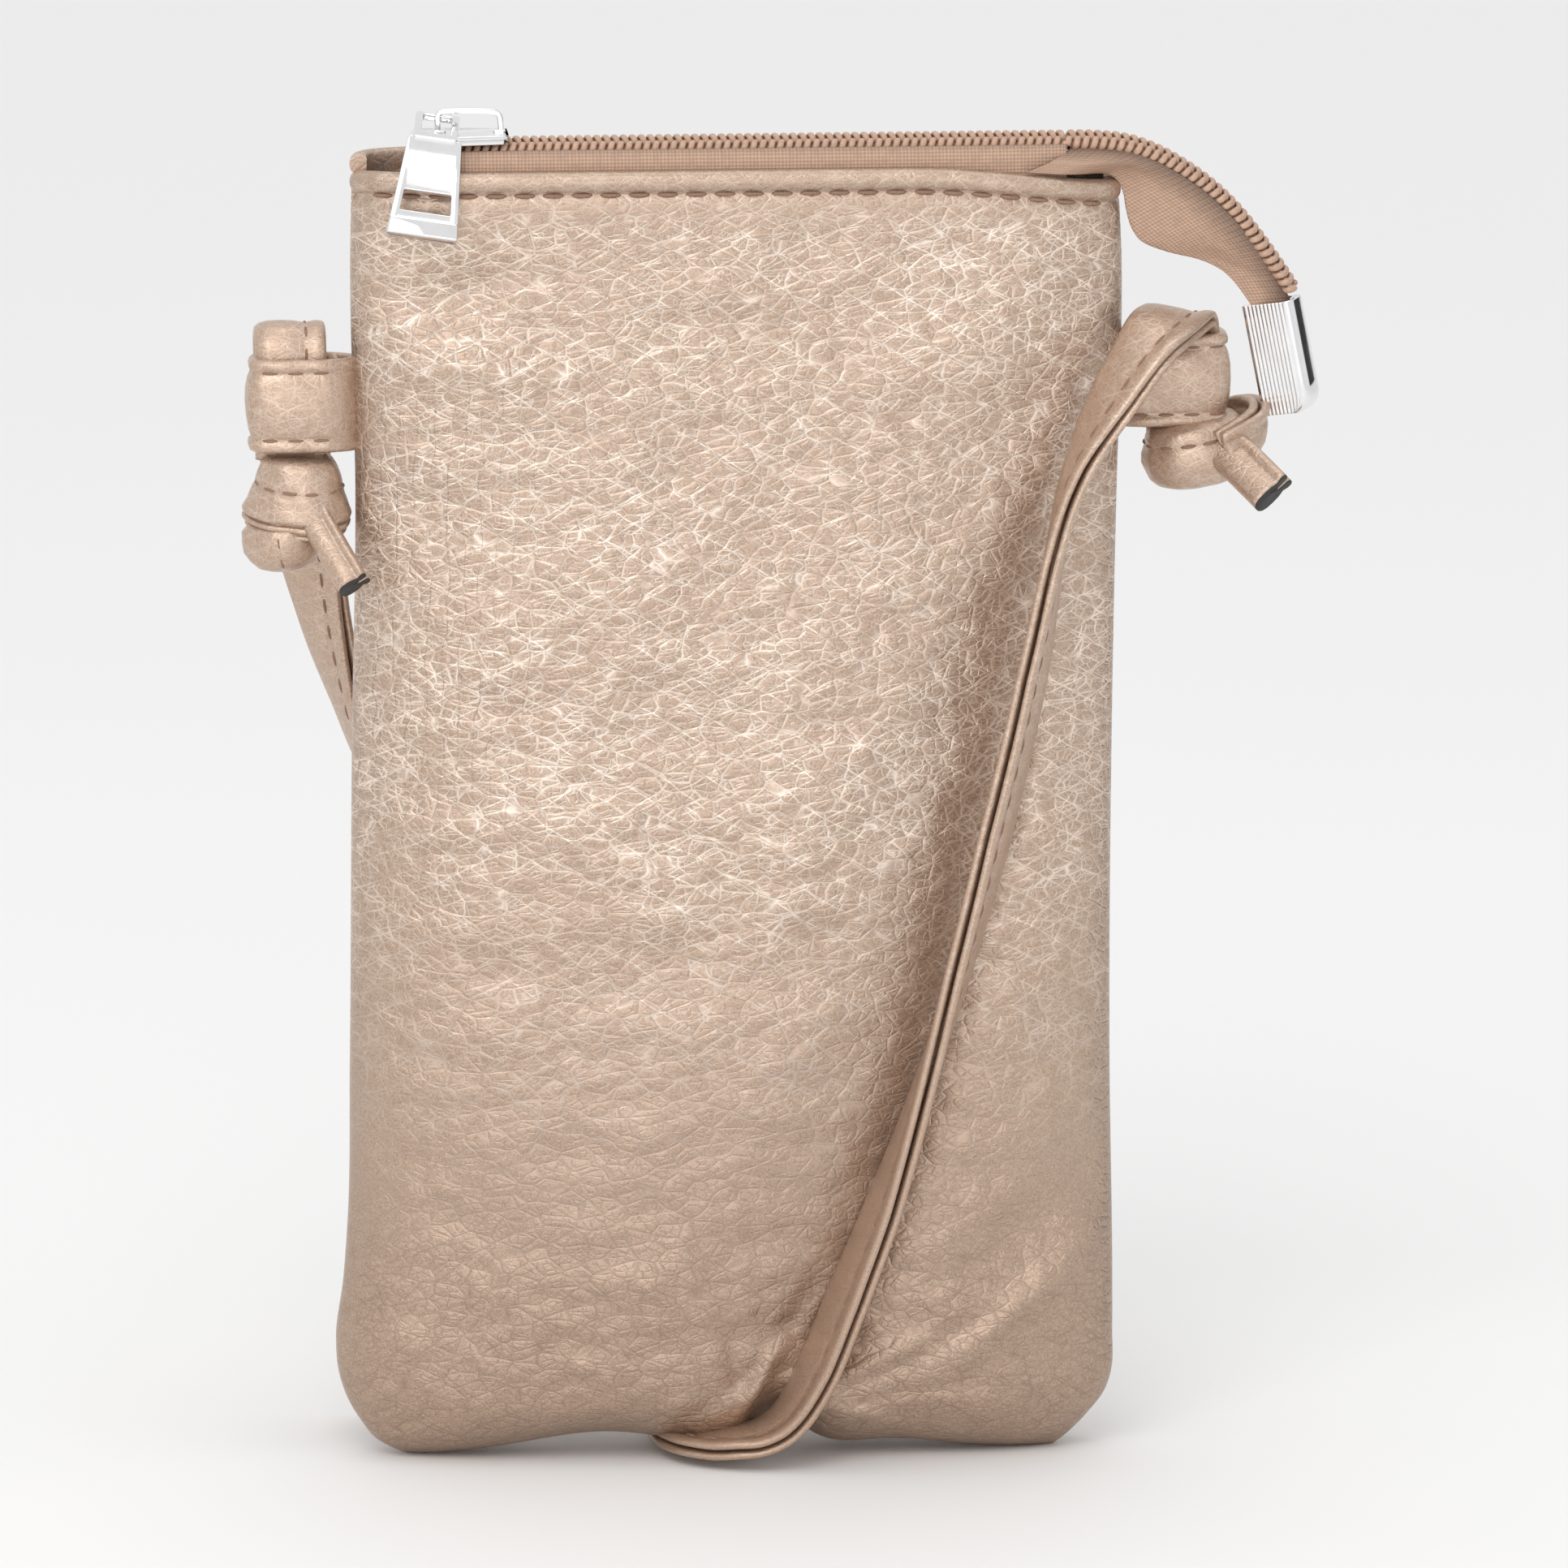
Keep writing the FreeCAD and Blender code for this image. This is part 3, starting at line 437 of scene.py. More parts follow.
def leather_material(name, spacing, depth, contrast, low_colour, high_colour):
    """Metallic leather cloth: crossing families of thin creases, nets of cells, a fine sparkle; the creases
    carry painted highlight above and painted shade near the base and beside the left edge.
    """
    material, shader, place = new_material(name)
    level = add(place, "SeparateXYZ", Vector=place).outputs
    grit = noise(place, 4200, 2)
    lines = []
    for tilt, wide, wander, phase, strength in CREASES:
        wave = crease_family(place, tilt, spacing * wide, wander, phase)
        lines.append(ramp(wave, (0.982, 0), (0.995, 0.45 * strength), (1, strength)))
    slopes = []
    for width, height, seed, wobble, share, strength in NETS:
        edge = cell_net(place, spacing * width, spacing * height, seed, wobble)
        lines.append(ramp(edge, (0, strength), (share, 0.3 * strength), (2.2 * share, 0)))
        slopes.append(ramp(edge, (0, strength), (0.10, 0.5 * strength), (0.45, 0)))
    # The lines break up, come in patches and calm down towards the base and above the hem's seam
    gaps = ramp(noise(place, 1.1 / (spacing * MM), 3), (0.36, 0.35), (0.58, 1))
    patches = ramp(noise(place, 60, 3), (0.30, 0.55 * contrast), (0.62, contrast))
    calm = ramp(level["Z"], (0.015, 0.7), (0.11, 1), (0.1765, 1), (0.1800, 0.35))
    thin = joined("MULTIPLY", joined("MAXIMUM", *lines), gaps, patches, calm)
    broad = joined("MULTIPLY", joined("MAXIMUM", *slopes), calm)
    # Painted shade: dark upright creases beside the left edge, where their flanks turn from the light
    left = add(place, "MapRange", Value=level["X"], From_Min=-0.020, From_Max=-0.036, To_Max=0.5 * contrast)
    upright = crease_family(place, 88, spacing * 0.85, 4.5, 0.7)
    dark = ramp(upright, (0.975, 0), (0.995, 0.6), (1, 1))
    high = ramp(level["Z"], (0.070, 0), (0.105, 1), (0.150, 1), (0.165, 0.2))
    dark = joined("MULTIPLY", dark, left.outputs["Result"], joined("MULTIPLY", gaps, high))
    coarse = add(place, "Bump", Strength=0.9, Distance=depth, invert=True, Height=broad)
    sparkle = add(place, "Bump", Strength=0.35, Distance=0.00004, Height=grit, Normal=coarse)
    # The crease lines are bright above and dark near the base: partly worn foil, partly painted highlight
    # above and painted shade near the base
    base = ramp(grit, (0.32, low_colour), (0.68, high_colour))
    painted_crease_light_and_shade = ramp(level["Z"], (0.025, (0.26, 0.175, 0.13)), (0.085, (0.92, 0.80, 0.70)))
    # The crease lines are mixed in with the painted highlight and shade colour
    lined = add(place, "MixRGB", Fac=thin, Color1=base, Color2=painted_crease_light_and_shade)
    # Mix in the painted shade of the upright creases
    creased = add(place, "MixRGB", Fac=dark, Color1=lined, Color2=(0.20, 0.13, 0.10, 1))
    feed(
        shader, Base_Color=creased, Normal=sparkle, Metallic=0.7,
        Roughness=ramp(grit, (0.3, 0.30), (0.7, 0.50)), Coat_Weight=0.12, Coat_Roughness=0.35,
    )
    return material


def woven_material(name, colour, yarn, rib, laid_out):
    """Woven cloth: crossing yarns, and ribs that fade away from the cloth's upper edge."""
    material, shader, place = new_material(name)
    if laid_out:
        sheet = add(place, "UVMap", uv_map="weave").outputs["UV"]
        place = add(place, "Mapping", Vector=sheet, Rotation=(pi / 2, 0, 0)).outputs["Vector"]
    level = add(place, "SeparateXYZ", Vector=place).outputs["Z"]
    ribs = ramp(crease_family(place, 90, rib, 0.3, 0), (0.2, 0), (0.8, 1))
    near = ramp(level, (0.0020, 0.8), (0.0038, 0.15))
    yarns = [crease_family(place, tilt, yarn, 0.6, 0) for tilt in (90, 0)]
    height = joined("ADD", joined("MULTIPLY", ribs, near), *yarns)
    fluff = noise(place, 700, 4)
    shade = joined("MULTIPLY", height, fluff)
    base = ramp(shade, (0.15, [c * 0.72 for c in colour]), (1, [c * 1.2 for c in colour]))
    # Painted shadow: the cloth is darkened in a thin line along its lowest flat height, which on the zip
    # tapes lies just under the teeth
    seam = ramp(level, (0.0003, 0.35), (0.0011, 1))
    base_with_painted_shadow = add(place, "MixRGB", blend_type="MULTIPLY", Fac=1, Color1=base, Color2=seam)
    relief = add(place, "Bump", Strength=0.7, Distance=0.0001, Height=shade)
    rough = ramp(fluff, (0.3, 0.62), (0.7, 0.85))
    feed(shader, Base_Color=base_with_painted_shadow, Normal=relief, Roughness=rough)
    return material


def plain_material(name, colour, roughness, metallic, mottle, grain, depth):
    """A fine-grained finish: mottled colour, a little grain."""
    material, shader, place = new_material(name)
    speck = noise(place, grain, 4)
    low = [c * (1 - mottle) for c in colour]
    high = [min(1, c * (1 + mottle)) for c in colour]
    base = ramp(speck, (0.3, low), (0.7, high))
    rough = ramp(speck, (0.3, roughness * 0.85), (0.7, roughness * 1.15))
    relief = add(place, "Bump", Strength=0.5, Distance=depth, Height=speck)
    feed(shader, Base_Color=base, Roughness=rough, Normal=relief, Metallic=metallic)
    return material


def floor_material():
    """Pale matt floor that gets a little paler away from the object."""
    material, shader, place = new_material("studio_floor")
    reach = add(place, "Mapping", Vector=place, Scale=(0.4, 0.4, 0.4))
    rings = add(place, "TexGradient", gradient_type="SPHERICAL", Vector=reach).outputs["Fac"]
    feed(shader, Base_Color=ramp(rings, (0.1, 0.95), (0.6, 0.87), (0.9, 0.86)), Roughness=0.7)
    return material


LEATHER_LOOK = leather_material(
    "rose_gold_leather", 2.75, 0.00018, 1, (0.365, 0.258, 0.192), (0.535, 0.398, 0.304))
STRAP_LOOK = leather_material(
    "rose_gold_strap", 1.9, 0.00005, 0.45, (0.43, 0.302, 0.222), (0.56, 0.410, 0.310))
CHROME_LOOK = plain_material("bright_chrome", (0.82, 0.82, 0.83), 0.09, 1.0, 0.04, 300.0, 0.00001)
TAPE_LOOK = woven_material("zip_tape_weave", (0.48, 0.315, 0.225), 0.50, 0.95, True)
COIL_LOOK = plain_material("zip_coil_nylon", (0.50, 0.32, 0.225), 0.38, 0.0, 0.12, 1500.0, 0.00003)
THREAD_LOOK = plain_material("sewing_thread", (0.27, 0.155, 0.105), 0.6, 0.0, 0.15, 3000.0, 0.00005)
LINING_LOOK = woven_material("lining_cloth", (0.25, 0.19, 0.16), 0.5, 1.5, False)
CUT_LOOK = plain_material("cut_edge", (0.03, 0.028, 0.027), 0.55, 0.0, 0.3, 900.0, 0.0001)
TIE_LOOK = woven_material("tie_ribbon", (0.34, 0.23, 0.17), 0.5, 1.0, False)
FLOOR_LOOK = floor_material()


# Camera, floor and light

PHOTO_PIXELS = 1932.0
PIXEL = 0.1149
BASE_PIXEL = (905.0, 1784.0)
CAMERA_DISTANCE = 3000.0
CAMERA_ELEVATION = 11.0
CAMERA_AZIMUTH = -4.0
CAMERA_SENSOR = 36.0
FLOOR_HALF = 2800.0
SKY_STRENGTH = 0.89
# Turn from +X, in degrees, of the dark flag that shades the bright metal
FLAG_TURN = 28.0


def make_camera():
    centre = PHOTO_PIXELS / 2
    right = (centre - BASE_PIXEL[0]) * PIXEL
    up = (BASE_PIXEL[1] - centre) * PIXEL
    el = radians(CAMERA_ELEVATION)
    az = radians(CAMERA_AZIMUTH)
    look = Vector((-sin(az) * cos(el), cos(az) * cos(el), -sin(el)))
    side = Vector((cos(az), sin(az), 0))
    top = side.cross(look)
    place = side * right + top * up - look * CAMERA_DISTANCE
    data = bpy.data.cameras.new("photo_camera")
    data.sensor_width = CAMERA_SENSOR
    data.lens = CAMERA_SENSOR * CAMERA_DISTANCE / (PHOTO_PIXELS * PIXEL)
    camera = link_object("photo_camera", data)
    turn = Matrix((side, top, -look)).transposed().to_4x4()
    camera.matrix_world = Matrix.Translation(place * MM) @ turn
    bpy.context.scene.camera = camera


def make_stage():
    """Pale level floor, wide enough to fill the view from every side."""
    share = np.linspace(-FLOOR_HALF, FLOOR_HALF, 9)
    grid = [[(x, y, 0) for x in share] for y in share]
    mesh_object("studio_floor", grid_shape(grid), FLOOR_LOOK)


def area_light(name, place, aim, side, power, colour=(1.0, 1.0, 1.0)):
    data = bpy.data.lights.new(name, "AREA")
    data.size = side * MM
    data.energy = power
    data.color = colour
    lamp = link_object(name, data)
    lamp.location = Vector(place) * MM
    lamp.rotation_euler = (Vector(aim) - Vector(place)).to_track_quat("-Z", "Y").to_euler()


def make_light():
    world = bpy.data.worlds.new("studio_world")
    world.use_nodes = True
    sky = world.node_tree.nodes["Background"]
    around = add(sky, "TexCoord").outputs["Generated"]
    turn = add(sky, "Mapping", Vector=around, Rotation=(0, 0, radians(-FLAG_TURN)))
    flag = add(sky, "SeparateXYZ", Vector=turn).outputs["X"]
    feed(sky, Color=ramp(flag, (0.86, 1), (0.93, 0.05)), Strength=SKY_STRENGTH)
    bpy.context.scene.world = world
    area_light("key_light", (-330, -1000, 1050), (0, 0, 90), 760, 5.2, (1, 0.99, 0.98))
    area_light("fill_light", (-120, -1150, 60), (0, 0, 20), 700, 2.3)
    area_light("top_light", (0, 100, 1400), (0, 0, 90), 900, 2.2)
    bpy.context.scene.view_settings.view_transform = "Standard"


# Pouch: outline and relief of the panels

# Height and half width of the pouch's left and right edges
LEFT_EDGE = (
    (0, 47.4), (1.7, 50.4), (5.2, 53.2), (11, 55.8), (17, 56.4), (25, 55.4), (34, 54.7), (57, 54.3),
    (104, 53.8), (138, 53.2), (170, 53.8), (186, 53.4),
)
RIGHT_EDGE = (
    (0, 46), (1.7, 47.7), (4.6, 50.2), (8, 52.6), (10, 53.3), (17, 53.6), (23, 53.6), (57, 53.1),
    (104, 53.3), (138, 53.9), (160, 54.5), (170, 54.5), (186, 53.8),
)
# Height, half depth at the middle and squareness of the section
DEPTHS = (
    (0, 11.2, 3), (12, 12.3, 2.7), (40, 13, 2.5), (75, 13, 2.5), (112, 12, 2.6), (140, 9.8, 3.2),
    (158, 8.1, 4.6), (172, 7.25, 6.5), (186, 7.1, 8),
)
# Where the strap crosses the front: height and x
STRAP_LINE = (
    (0, 2), (14, 11.4), (25, 15), (37, 19.8), (53, 25.2), (71, 30.6), (90, 35.8), (113, 41), (126, 43),
    (134, 44.8), (144, 47.6), (155, 53.4), (190, 68),
)
# Swells and folds: x and height of the middle, reach along and across, turn in degrees, rise
FRONT_SWELLS = (
    (-41, 166, 10, 4.6, 6, -1.7), (-37, 156.5, 12, 3.4, -6, 1), (30, 157, 11, 5.5, 12, 0.9),
    (37, 133, 7, 9, 0, 0.7), (3, 168, 16, 5, 0, 0.5), (42, 24, 14, 2.6, 38, 1.5), (37, 31, 13, 4, 38, -1.1),
    (3, 9, 8, 1.5, 62, 0.8), (-1, 14, 7, 1.5, 100, -0.5), (8, 20, 7, 1.5, 70, -0.6),
    (20, 14, 8, 1.5, 25, 0.6), (24, 9, 8, 1.5, 10, -0.5), (18, 5, 9, 1.5, -15, 0.5),
    (-6, 6, 9, 1.5, 40, -0.4), (29, 17, 9, 1.5, 30, -0.5), (-44, 147, 9, 1.1, 4, -0.35),
    (-46, 138, 8, 1.1, -3, -0.35), (-45, 128, 8, 1.1, 5, -0.3), (-40, 108, 14, 1.1, 3, -0.2),
    (-45, 88, 10, 1.1, -4, -0.25), (-38, 70, 13, 1.1, 6, -0.2), (-44, 52, 10, 1.1, 0, -0.2),
)
BACK_SWELLS = ((-6, 70, 22, 60, 0, -0.8), (-30, 158, 18, 5, 8, 0.7), (34, 164, 14, 5, -10, -0.6))
# Rows of a panel's hem from below its seam, over the top and down inside: rise from the seam, offset
HEM = (
    (-2.3, 0), (-1.6, -0.02), (-1, -0.1), (-0.55, -0.28), (-0.2, -0.46), (0, -0.5), (0.2, -0.44),
    (0.5, -0.16), (0.85, 0.12), (1.3, 0.32), (1.8, 0.38), (2.3, 0.32), (2.75, 0.14), (3.05, -0.18),
    (3.25, -0.62), (3.3, -1.1), (3.2, -1.55), (2.9, -1.9), (2.4, -2.05), (1.2, -2.05),
)
HEM_INSIDE = -2.0
BASE_ROUND = 9.0
# Height up to which the panels follow the arch of the lower edge
BASE_SOFT = 34.0
COLUMNS = 231
LINING_TOP = 172.0
LINING_GAP = 0.3
LINING_THICK = 0.5
BROAD = waves(3, 42.0)
MIDDLE = waves(8, 17.0)
NARROW = waves(21, 7.0)


def swelled(out, swells, x, z):
    """Relief with round swells added to it."""
    for centre_x, centre_z, reach, breadth, turn, rise in swells:
        angle = radians(turn)
        ahead = (x - centre_x) * cos(angle) + (z - centre_z) * sin(angle)
        aside = (z - centre_z) * cos(angle) - (x - centre_x) * sin(angle)
        out = out + rise * np.exp(-(ahead / reach) ** 2 - (aside / breadth) ** 2)
    return out


def below_hem(z):
    """Share of the leather's undulation, which the hem holds flat."""
    return smooth(183, 168, z)


def front_relief(x, z):
    """How far the front panel stands out of its even form, in millimetres."""
    aside = x - along(STRAP_LINE, z)
    pressed = smooth(165, 118, z)
    out = pressed * smooth(2, 22, z) * (0.5 * hump(aside, -28, 14) - 1.5 * hump(aside, 0, 11))
    out = swelled(out - 1.3 * pressed * hump(aside, -0.6, 4.2), FRONT_SWELLS, x, z)
    ripple = 0.22 * BROAD(x, z) + 0.14 * MIDDLE(x, z * 1.4) + 0.05 * NARROW(x, z * 1.5)
    return out + below_hem(z) * ripple


def back_relief(x, z):
    """How far the back panel stands out of its even form, in millimetres."""
    ripple = 0.40 * BROAD(x + 80, z) + 0.16 * MIDDLE(x + 50, z * 1.4) + 0.05 * NARROW(x, z)
    return swelled(0, BACK_SWELLS, x, z) + below_hem(z) * ripple


def base_edge(x):
    """Height of the pouch's lower edge: it stands on its two corners and arches between them."""
    return 3.1 * hump(x, -19, 15) + 4.6 * hump(x, 6, 5.5) + 1.5 * hump(x, 22, 11)


def hem_drop(x, sign):
    """How far the top edge dips; the left-hand end of the back rises instead."""
    if sign > 0:
        return 1.2 * smooth(44, 55, x) - 2 * smooth(-34, -46, x)
    return 3 * smooth(24, 62, x) + 0.6 * smooth(-50, -55, x)


def section_line(z, offset):
    """Half section at a height: x, depth and length, evenly spaced from the left seam to the right."""
    share = np.sin(np.linspace(-pi / 2, pi / 2, 1601))
    half = np.where(share < 0, along(LEFT_EDGE, z), along(RIGHT_EDGE, z))
    x = share * (half + offset)
    y = (along(DEPTHS, z, 1) + offset) * (1 - np.abs(share) ** along(DEPTHS, z, 2)) ** (1 / 2.3)
    line = np.column_stack([x, y])
    run = arc_length(line)
    even = np.linspace(0, run[-1], COLUMNS)
    return (*at_length(line, run, even).T, even)


def level_rows(low, high, count, offset):
    return [(z, 1, offset) for z in np.linspace(low, high, count)]


def base_rows(steps, count, rise, offset):
    """Rows round the base seam, at steps of a quarter turn."""
    angles = [pi / 2 * step / count for step in steps]
    return [(BASE_ROUND * (1 - cos(a)) + rise * cos(a), sin(a), offset) for a in angles]


def panel_rows():
    """Rows of a panel from the base seam up, over the hem and down inside: height, drawn-in share, offset."""
    rows = base_rows(range(26), 26, 0, 0)
    rows += level_rows(BASE_ROUND, STITCH_LEVEL - 2.6, 290, 0)
    rows += [(STITCH_LEVEL + rise, 1, offset) for rise, offset in HEM]
    rows += level_rows(STITCH_LEVEL - 1, STITCH_LEVEL - 6, 4, HEM_INSIDE)
    rows += level_rows(STITCH_LEVEL - 7, BASE_ROUND, 36, -LEATHER)
    return rows + base_rows(range(9, -1, -1), 10, LEATHER, -LEATHER)


def panel_points(sign, rows, relief, inset=0.0):
    """Grid of points of a panel; sign is -1 at the front and 1 at the back."""
    grid = []
    for z, drawn, offset in rows:
        x, depth, run = section_line(z, offset - inset)
        seam = np.minimum(run, run[-1] - run)
        shape = relief(x, z) * smooth(0, 9, seam) - 0.55 * hump(seam, 0, 0.9)
        y = (depth + shape) * drawn ** 0.9
        height = z - hem_drop(x, sign) * smooth(150, 181, z) + base_edge(x) * (1 - smooth(0, BASE_SOFT, z))
        narrow = 1 - (1 - drawn) * 0.02
        grid.append(np.column_stack([x * narrow, sign * np.maximum(y, 0), height]))
    return np.array(grid)


def make_panel(name, sign, relief):
    points, faces = grid_shape(panel_points(sign, panel_rows(), relief))
    if sign > 0:
        faces = [tuple(reversed(face)) for face in faces]
    faces.append(tuple(range(0, len(points), COLUMNS)))
    faces.append(tuple(range(COLUMNS - 1, len(points), COLUMNS)))
    piece = make_piece(name + "_skin", (points, faces), LEATHER_LOOK, "leather", name)
    for cut_edge in piece.data.polygons[-2:]:
        cut_edge.use_smooth = False


def make_lining(name, sign, relief):
    inset = LEATHER + LINING_GAP
    rows = base_rows(range(8), 8, inset, 0)
    rows += level_rows(BASE_ROUND, LINING_TOP, 60, 0)
    rows += level_rows(LINING_TOP, BASE_ROUND, 60, -LINING_THICK)
    rows += base_rows(range(7, -1, -1), 8, inset + LINING_THICK, -LINING_THICK)
    shape = grid_shape(panel_points(sign, rows, relief, inset)[:, ::3])
    make_piece(name + "_cloth", shape, LINING_LOOK, "lining", name)


def make_hem_stitches(name, sign, relief):
    line = panel_points(sign, [(STITCH_LEVEL, 1, -0.42)], relief)[0, 9:-9]
    outward = in_plane(left_of(directions(line)) * sign, 0)
    make_piece(name + "_thread", stitch_row(line, outward), THREAD_LOOK, "thread", name)


# Zip

ZIP_LEFT = -45.0
ZIP_RIGHT = 46.4
COIL_PITCH = 1.25
COIL_WIRE = 0.36
COIL_ALONG = 0.46
COIL_HALF_WIDE = 1.0
COIL_HALF_HIGH = 0.64
COIL_CENTRE = 1.45
# The mouth's back edge stands higher than its front one, so the zip leans to the front, in degrees
COIL_LEAN = 9.0
# Middle line of a fixed tape, from the coil out and down behind the hem: y and z
TAPE_LINE = (
    (1.9, 186.2), (2.6, 186.34), (3.4, 186.6), (4.2, 186.64), (4.75, 186.48), (5.1, 186.1), (5.35, 185.6),
    (5.46, 185), (5.5, 184), (5.5, 182), (5.5, 178), (5.5, 174.3),
)
TAPE_LEFT = -49.0
TAPE_HALF = 0.26
# From the front of the panel to the outside of the tape behind its hem, at a height
TAPE_ROOM = 2.1
TAPE_ROOM_LEVEL = 178.0
# Height to which the tape's left end is tucked into the mouth
TAPE_TUCKED = 181.0


def coil_row(line, sign):
    """A nylon coil beside the zip's middle line; sign is -1 at the front and 1 at the back."""
    lean = radians(COIL_LEAN)
    upright = np.cross(directions(line), TO_BACK)
    side = (TO_BACK * cos(lean) + upright * sin(lean)) * sign
    up = upright * cos(lean) - TO_BACK * sin(lean)
    line = line + side * COIL_CENTRE
    run = arc_length(line)
    s = np.linspace(0, run[-1], int(run[-1] / COIL_PITCH * 14))
    angle = 2 * pi * s / COIL_PITCH + (0 if sign < 0 else pi)
    aside = at_length(side, run, s) * np.cos(angle)[:, None]
    above = at_length(up, run, s) * np.sin(angle)[:, None]
    core = at_length(line, run, s) + aside * COIL_HALF_WIDE + above * COIL_HALF_HIGH
    return sections(core, aside + above, on_circle(full_turn(8)) * (COIL_WIRE, COIL_ALONG))


def make_zip_coil(name, sign):
    line = np.array([(x, 0, ZIP_LEVEL) for x in np.linspace(ZIP_LEFT, ZIP_RIGHT, 60)])
    make_piece(name + "_helix", coil_row(line, sign), COIL_LOOK, "zip_coil", name)


def make_zip_tape(name, sign):
    line = np.array(TAPE_LINE)
    run = arc_length(line)
    edge = line[0, 0]
    mouth_x, mouth_depth = section_line(TAPE_ROOM_LEVEL, 0)[:2]
    rings = []
    flat = []
    for x in np.linspace(TAPE_LEFT, ZIP_RIGHT, 120):
        room = np.interp(x, mouth_x, mouth_depth) - TAPE_ROOM
        bent = line.copy()
        bent[:, 0] = edge + (line[:, 0] - edge) * min(1, (room - TAPE_HALF - edge) / (line[-1, 0] - edge))
        above = np.maximum(bent[:, 1] - TAPE_TUCKED, 0)
        bent[:, 1] = bent[:, 1] - 0.8 * above * smooth(-43, -48.5, x)
        normal = left_of(directions(bent))
        ring = np.concatenate([bent + normal * TAPE_HALF, (bent - normal * TAPE_HALF)[::-1]])
        rings.append([(x, sign * y, z) for y, z in ring])
        flat += [(x, length) for length in np.concatenate([run, run[::-1]])]
    lay_out(make_piece(name + "_weave", loft(rings), TAPE_LOOK, "zip_tape", name), flat)


# Slider, bail and pull

SLIDER_LEFT = -45.2
SLIDER_LENGTH = 13.6
# Lower and upper face of the slider's two plates, their lips and the web between them
SLIDER_PLATES = ((188.27, 189.05), (184.95, 185.73))
SLIDER_LIPS = ((187.7, 188.5), (185.5, 186.3))
SLIDER_WEB = (185.5, 188.5)
# Middle line of the bail, x and z, the x of its feet and their lower and upper face
BAIL_LINE = (
    (-41.55, 188.6), (-41.55, 190.4), (-41.5, 192), (-39, 192.15), (-35, 192.1), (-33, 191.9),
    (-32.65, 190.4), (-32.65, 188.6),
)
BAIL_FEET = (-41.3, -32.9)
BAIL_FOOT = (188.9, 189.5)
PULL_PIVOT = (-41.55, 0.0, 190.55)
PULL_LEAN = -9.0
PULL_AXIS = (0.0, -0.9, 0.44)
PULL_DROP = 64.0
PULL_HALF = 0.55
PULL_FOOT_HALF = 1.2
EYE_ANGLE = 17.0
EYE_REACH = 6.2


def make_slider():
    left = SLIDER_LEFT
    right = SLIDER_LEFT + SLIDER_LENGTH
    upper = [(right, 2.6), (right - 0.6, 3.35), (left + 6.2, 4.25), (left + 1.8, 4.25), (left, 2.6)]
    outline = rounded([(x, -y) for x, y in reversed(upper)] + upper, 0.55, 4)
    shapes = [plate(outline, low, high, 0.25) for low, high in SLIDER_PLATES]
    for sign in (-1, 1):
        lip = [(left + 1.6, 4.22), (left + 6.2, 4.22), (right - 0.7, 3.32)]
        lip += [(right - 0.9, 2.7), (left + 6, 3.5), (left + 2, 3.5)]
        rim = rounded([(x, sign * y) for x, y in lip[::-sign]], 0.25, 3)
        shapes += [plate(rim, low, high, 0.15) for low, high in SLIDER_LIPS]
    web = rounded(box_outline(left + 0.1, left + 3, -0.4, 0.4), 0.3, 4)
    shapes.append(plate(web, *SLIDER_WEB, 0.05))
    make_metal("zip_slider_shell", merge(shapes), "zip_slider_body", "slider")


def make_bail():
    arch = spline_points([(x, 0, z) for x, z in BAIL_LINE])
    bar = rounded(box_outline(-0.6, 0.6, -0.42, 0.42), 0.28, 4)
    shapes = [sections(arch, TO_BACK, bar)]
    for x in BAIL_FEET:
        foot = rounded(box_outline(x - 0.9, x + 0.9, -0.95, 0.95), 0.4, 4)
        shapes.append(plate(foot, *BAIL_FOOT, 0.2))
    make_metal("zip_slider_arch", merge(shapes), "zip_slider_bail", "slider")


def make_pull():
    """The cast pull, lying in its own plane at first: an eye, a slotted blade and a thick foot."""
    ring = rounded(box_outline(-3.1, 3.1, -6.4, 1.7), 0.6, 6)
    hole = rounded(box_outline(-2.05, 2.05, -4.3, 1), 0.45, 6)
    eye, eye_faces = holed_plate(ring, hole, -PULL_HALF, PULL_HALF, 0.18)
    face = rounded([(-3.75, -0.2), (3.75, -0.2), (5, 14.4), (-5, 14.4)], 0.5, 6)
    slot = rounded([(-3.3, 7.7), (3.3, 7.7), (3.55, 10.7), (-3.55, 10.7)], 0.25, 6)
    end = rounded([(-4.78, 11.9), (4.78, 11.9), (5, 14.4), (-5, 14.4)], 0.4, 5)
    foot = plate(end, -PULL_FOOT_HALF, PULL_FOOT_HALF, 0.3)
    blade, blade_faces = merge([holed_plate(face, slot, -PULL_HALF, PULL_HALF, 0.16), foot])
    neck = radians(EYE_ANGLE)
    joint = (0, -EYE_REACH * cos(neck) + PULL_HALF, -EYE_REACH * sin(neck))
    eye = moved(eye, turned(EYE_ANGLE, "X"))
    blade = moved(blade, turned(180 + PULL_DROP, "X"), joint)
    points, faces = merge([(eye, eye_faces), (blade, blade_faces)])
    shape = moved(points, turned(PULL_LEAN, Vector(PULL_AXIS)), PULL_PIVOT), faces
    make_metal("zip_pull_plate", shape, "zip_pull_tab", "pull")


# Free zip end: x and z of its lines past the corner

TAIL_UPPER = ((50.0, 187.1), (57.3, 186.3), (66.6, 180.8), (73.5, 173.3), (78.4, 165.6), (79.6, 163.0))
TAIL_COIL_LINE = ((46.6, 187.0),) + TAIL_UPPER[:-1]
# The tape's upper edge begins past a slanting fold; its lower edge drops clear of the pouch's corner
TAIL_FOLD = ((47.4, 187.0),) + TAIL_UPPER
TAIL_LOWER = (
    (40.5, 183.4), (48, 182.9), (54.4, 182.4), (55.4, 173.4), (60.6, 171), (66, 169.8), (70.4, 167.2),
    (73.2, 162.4),
)
# Number of points along each edge of the free zip end
TAIL_COUNT = 70
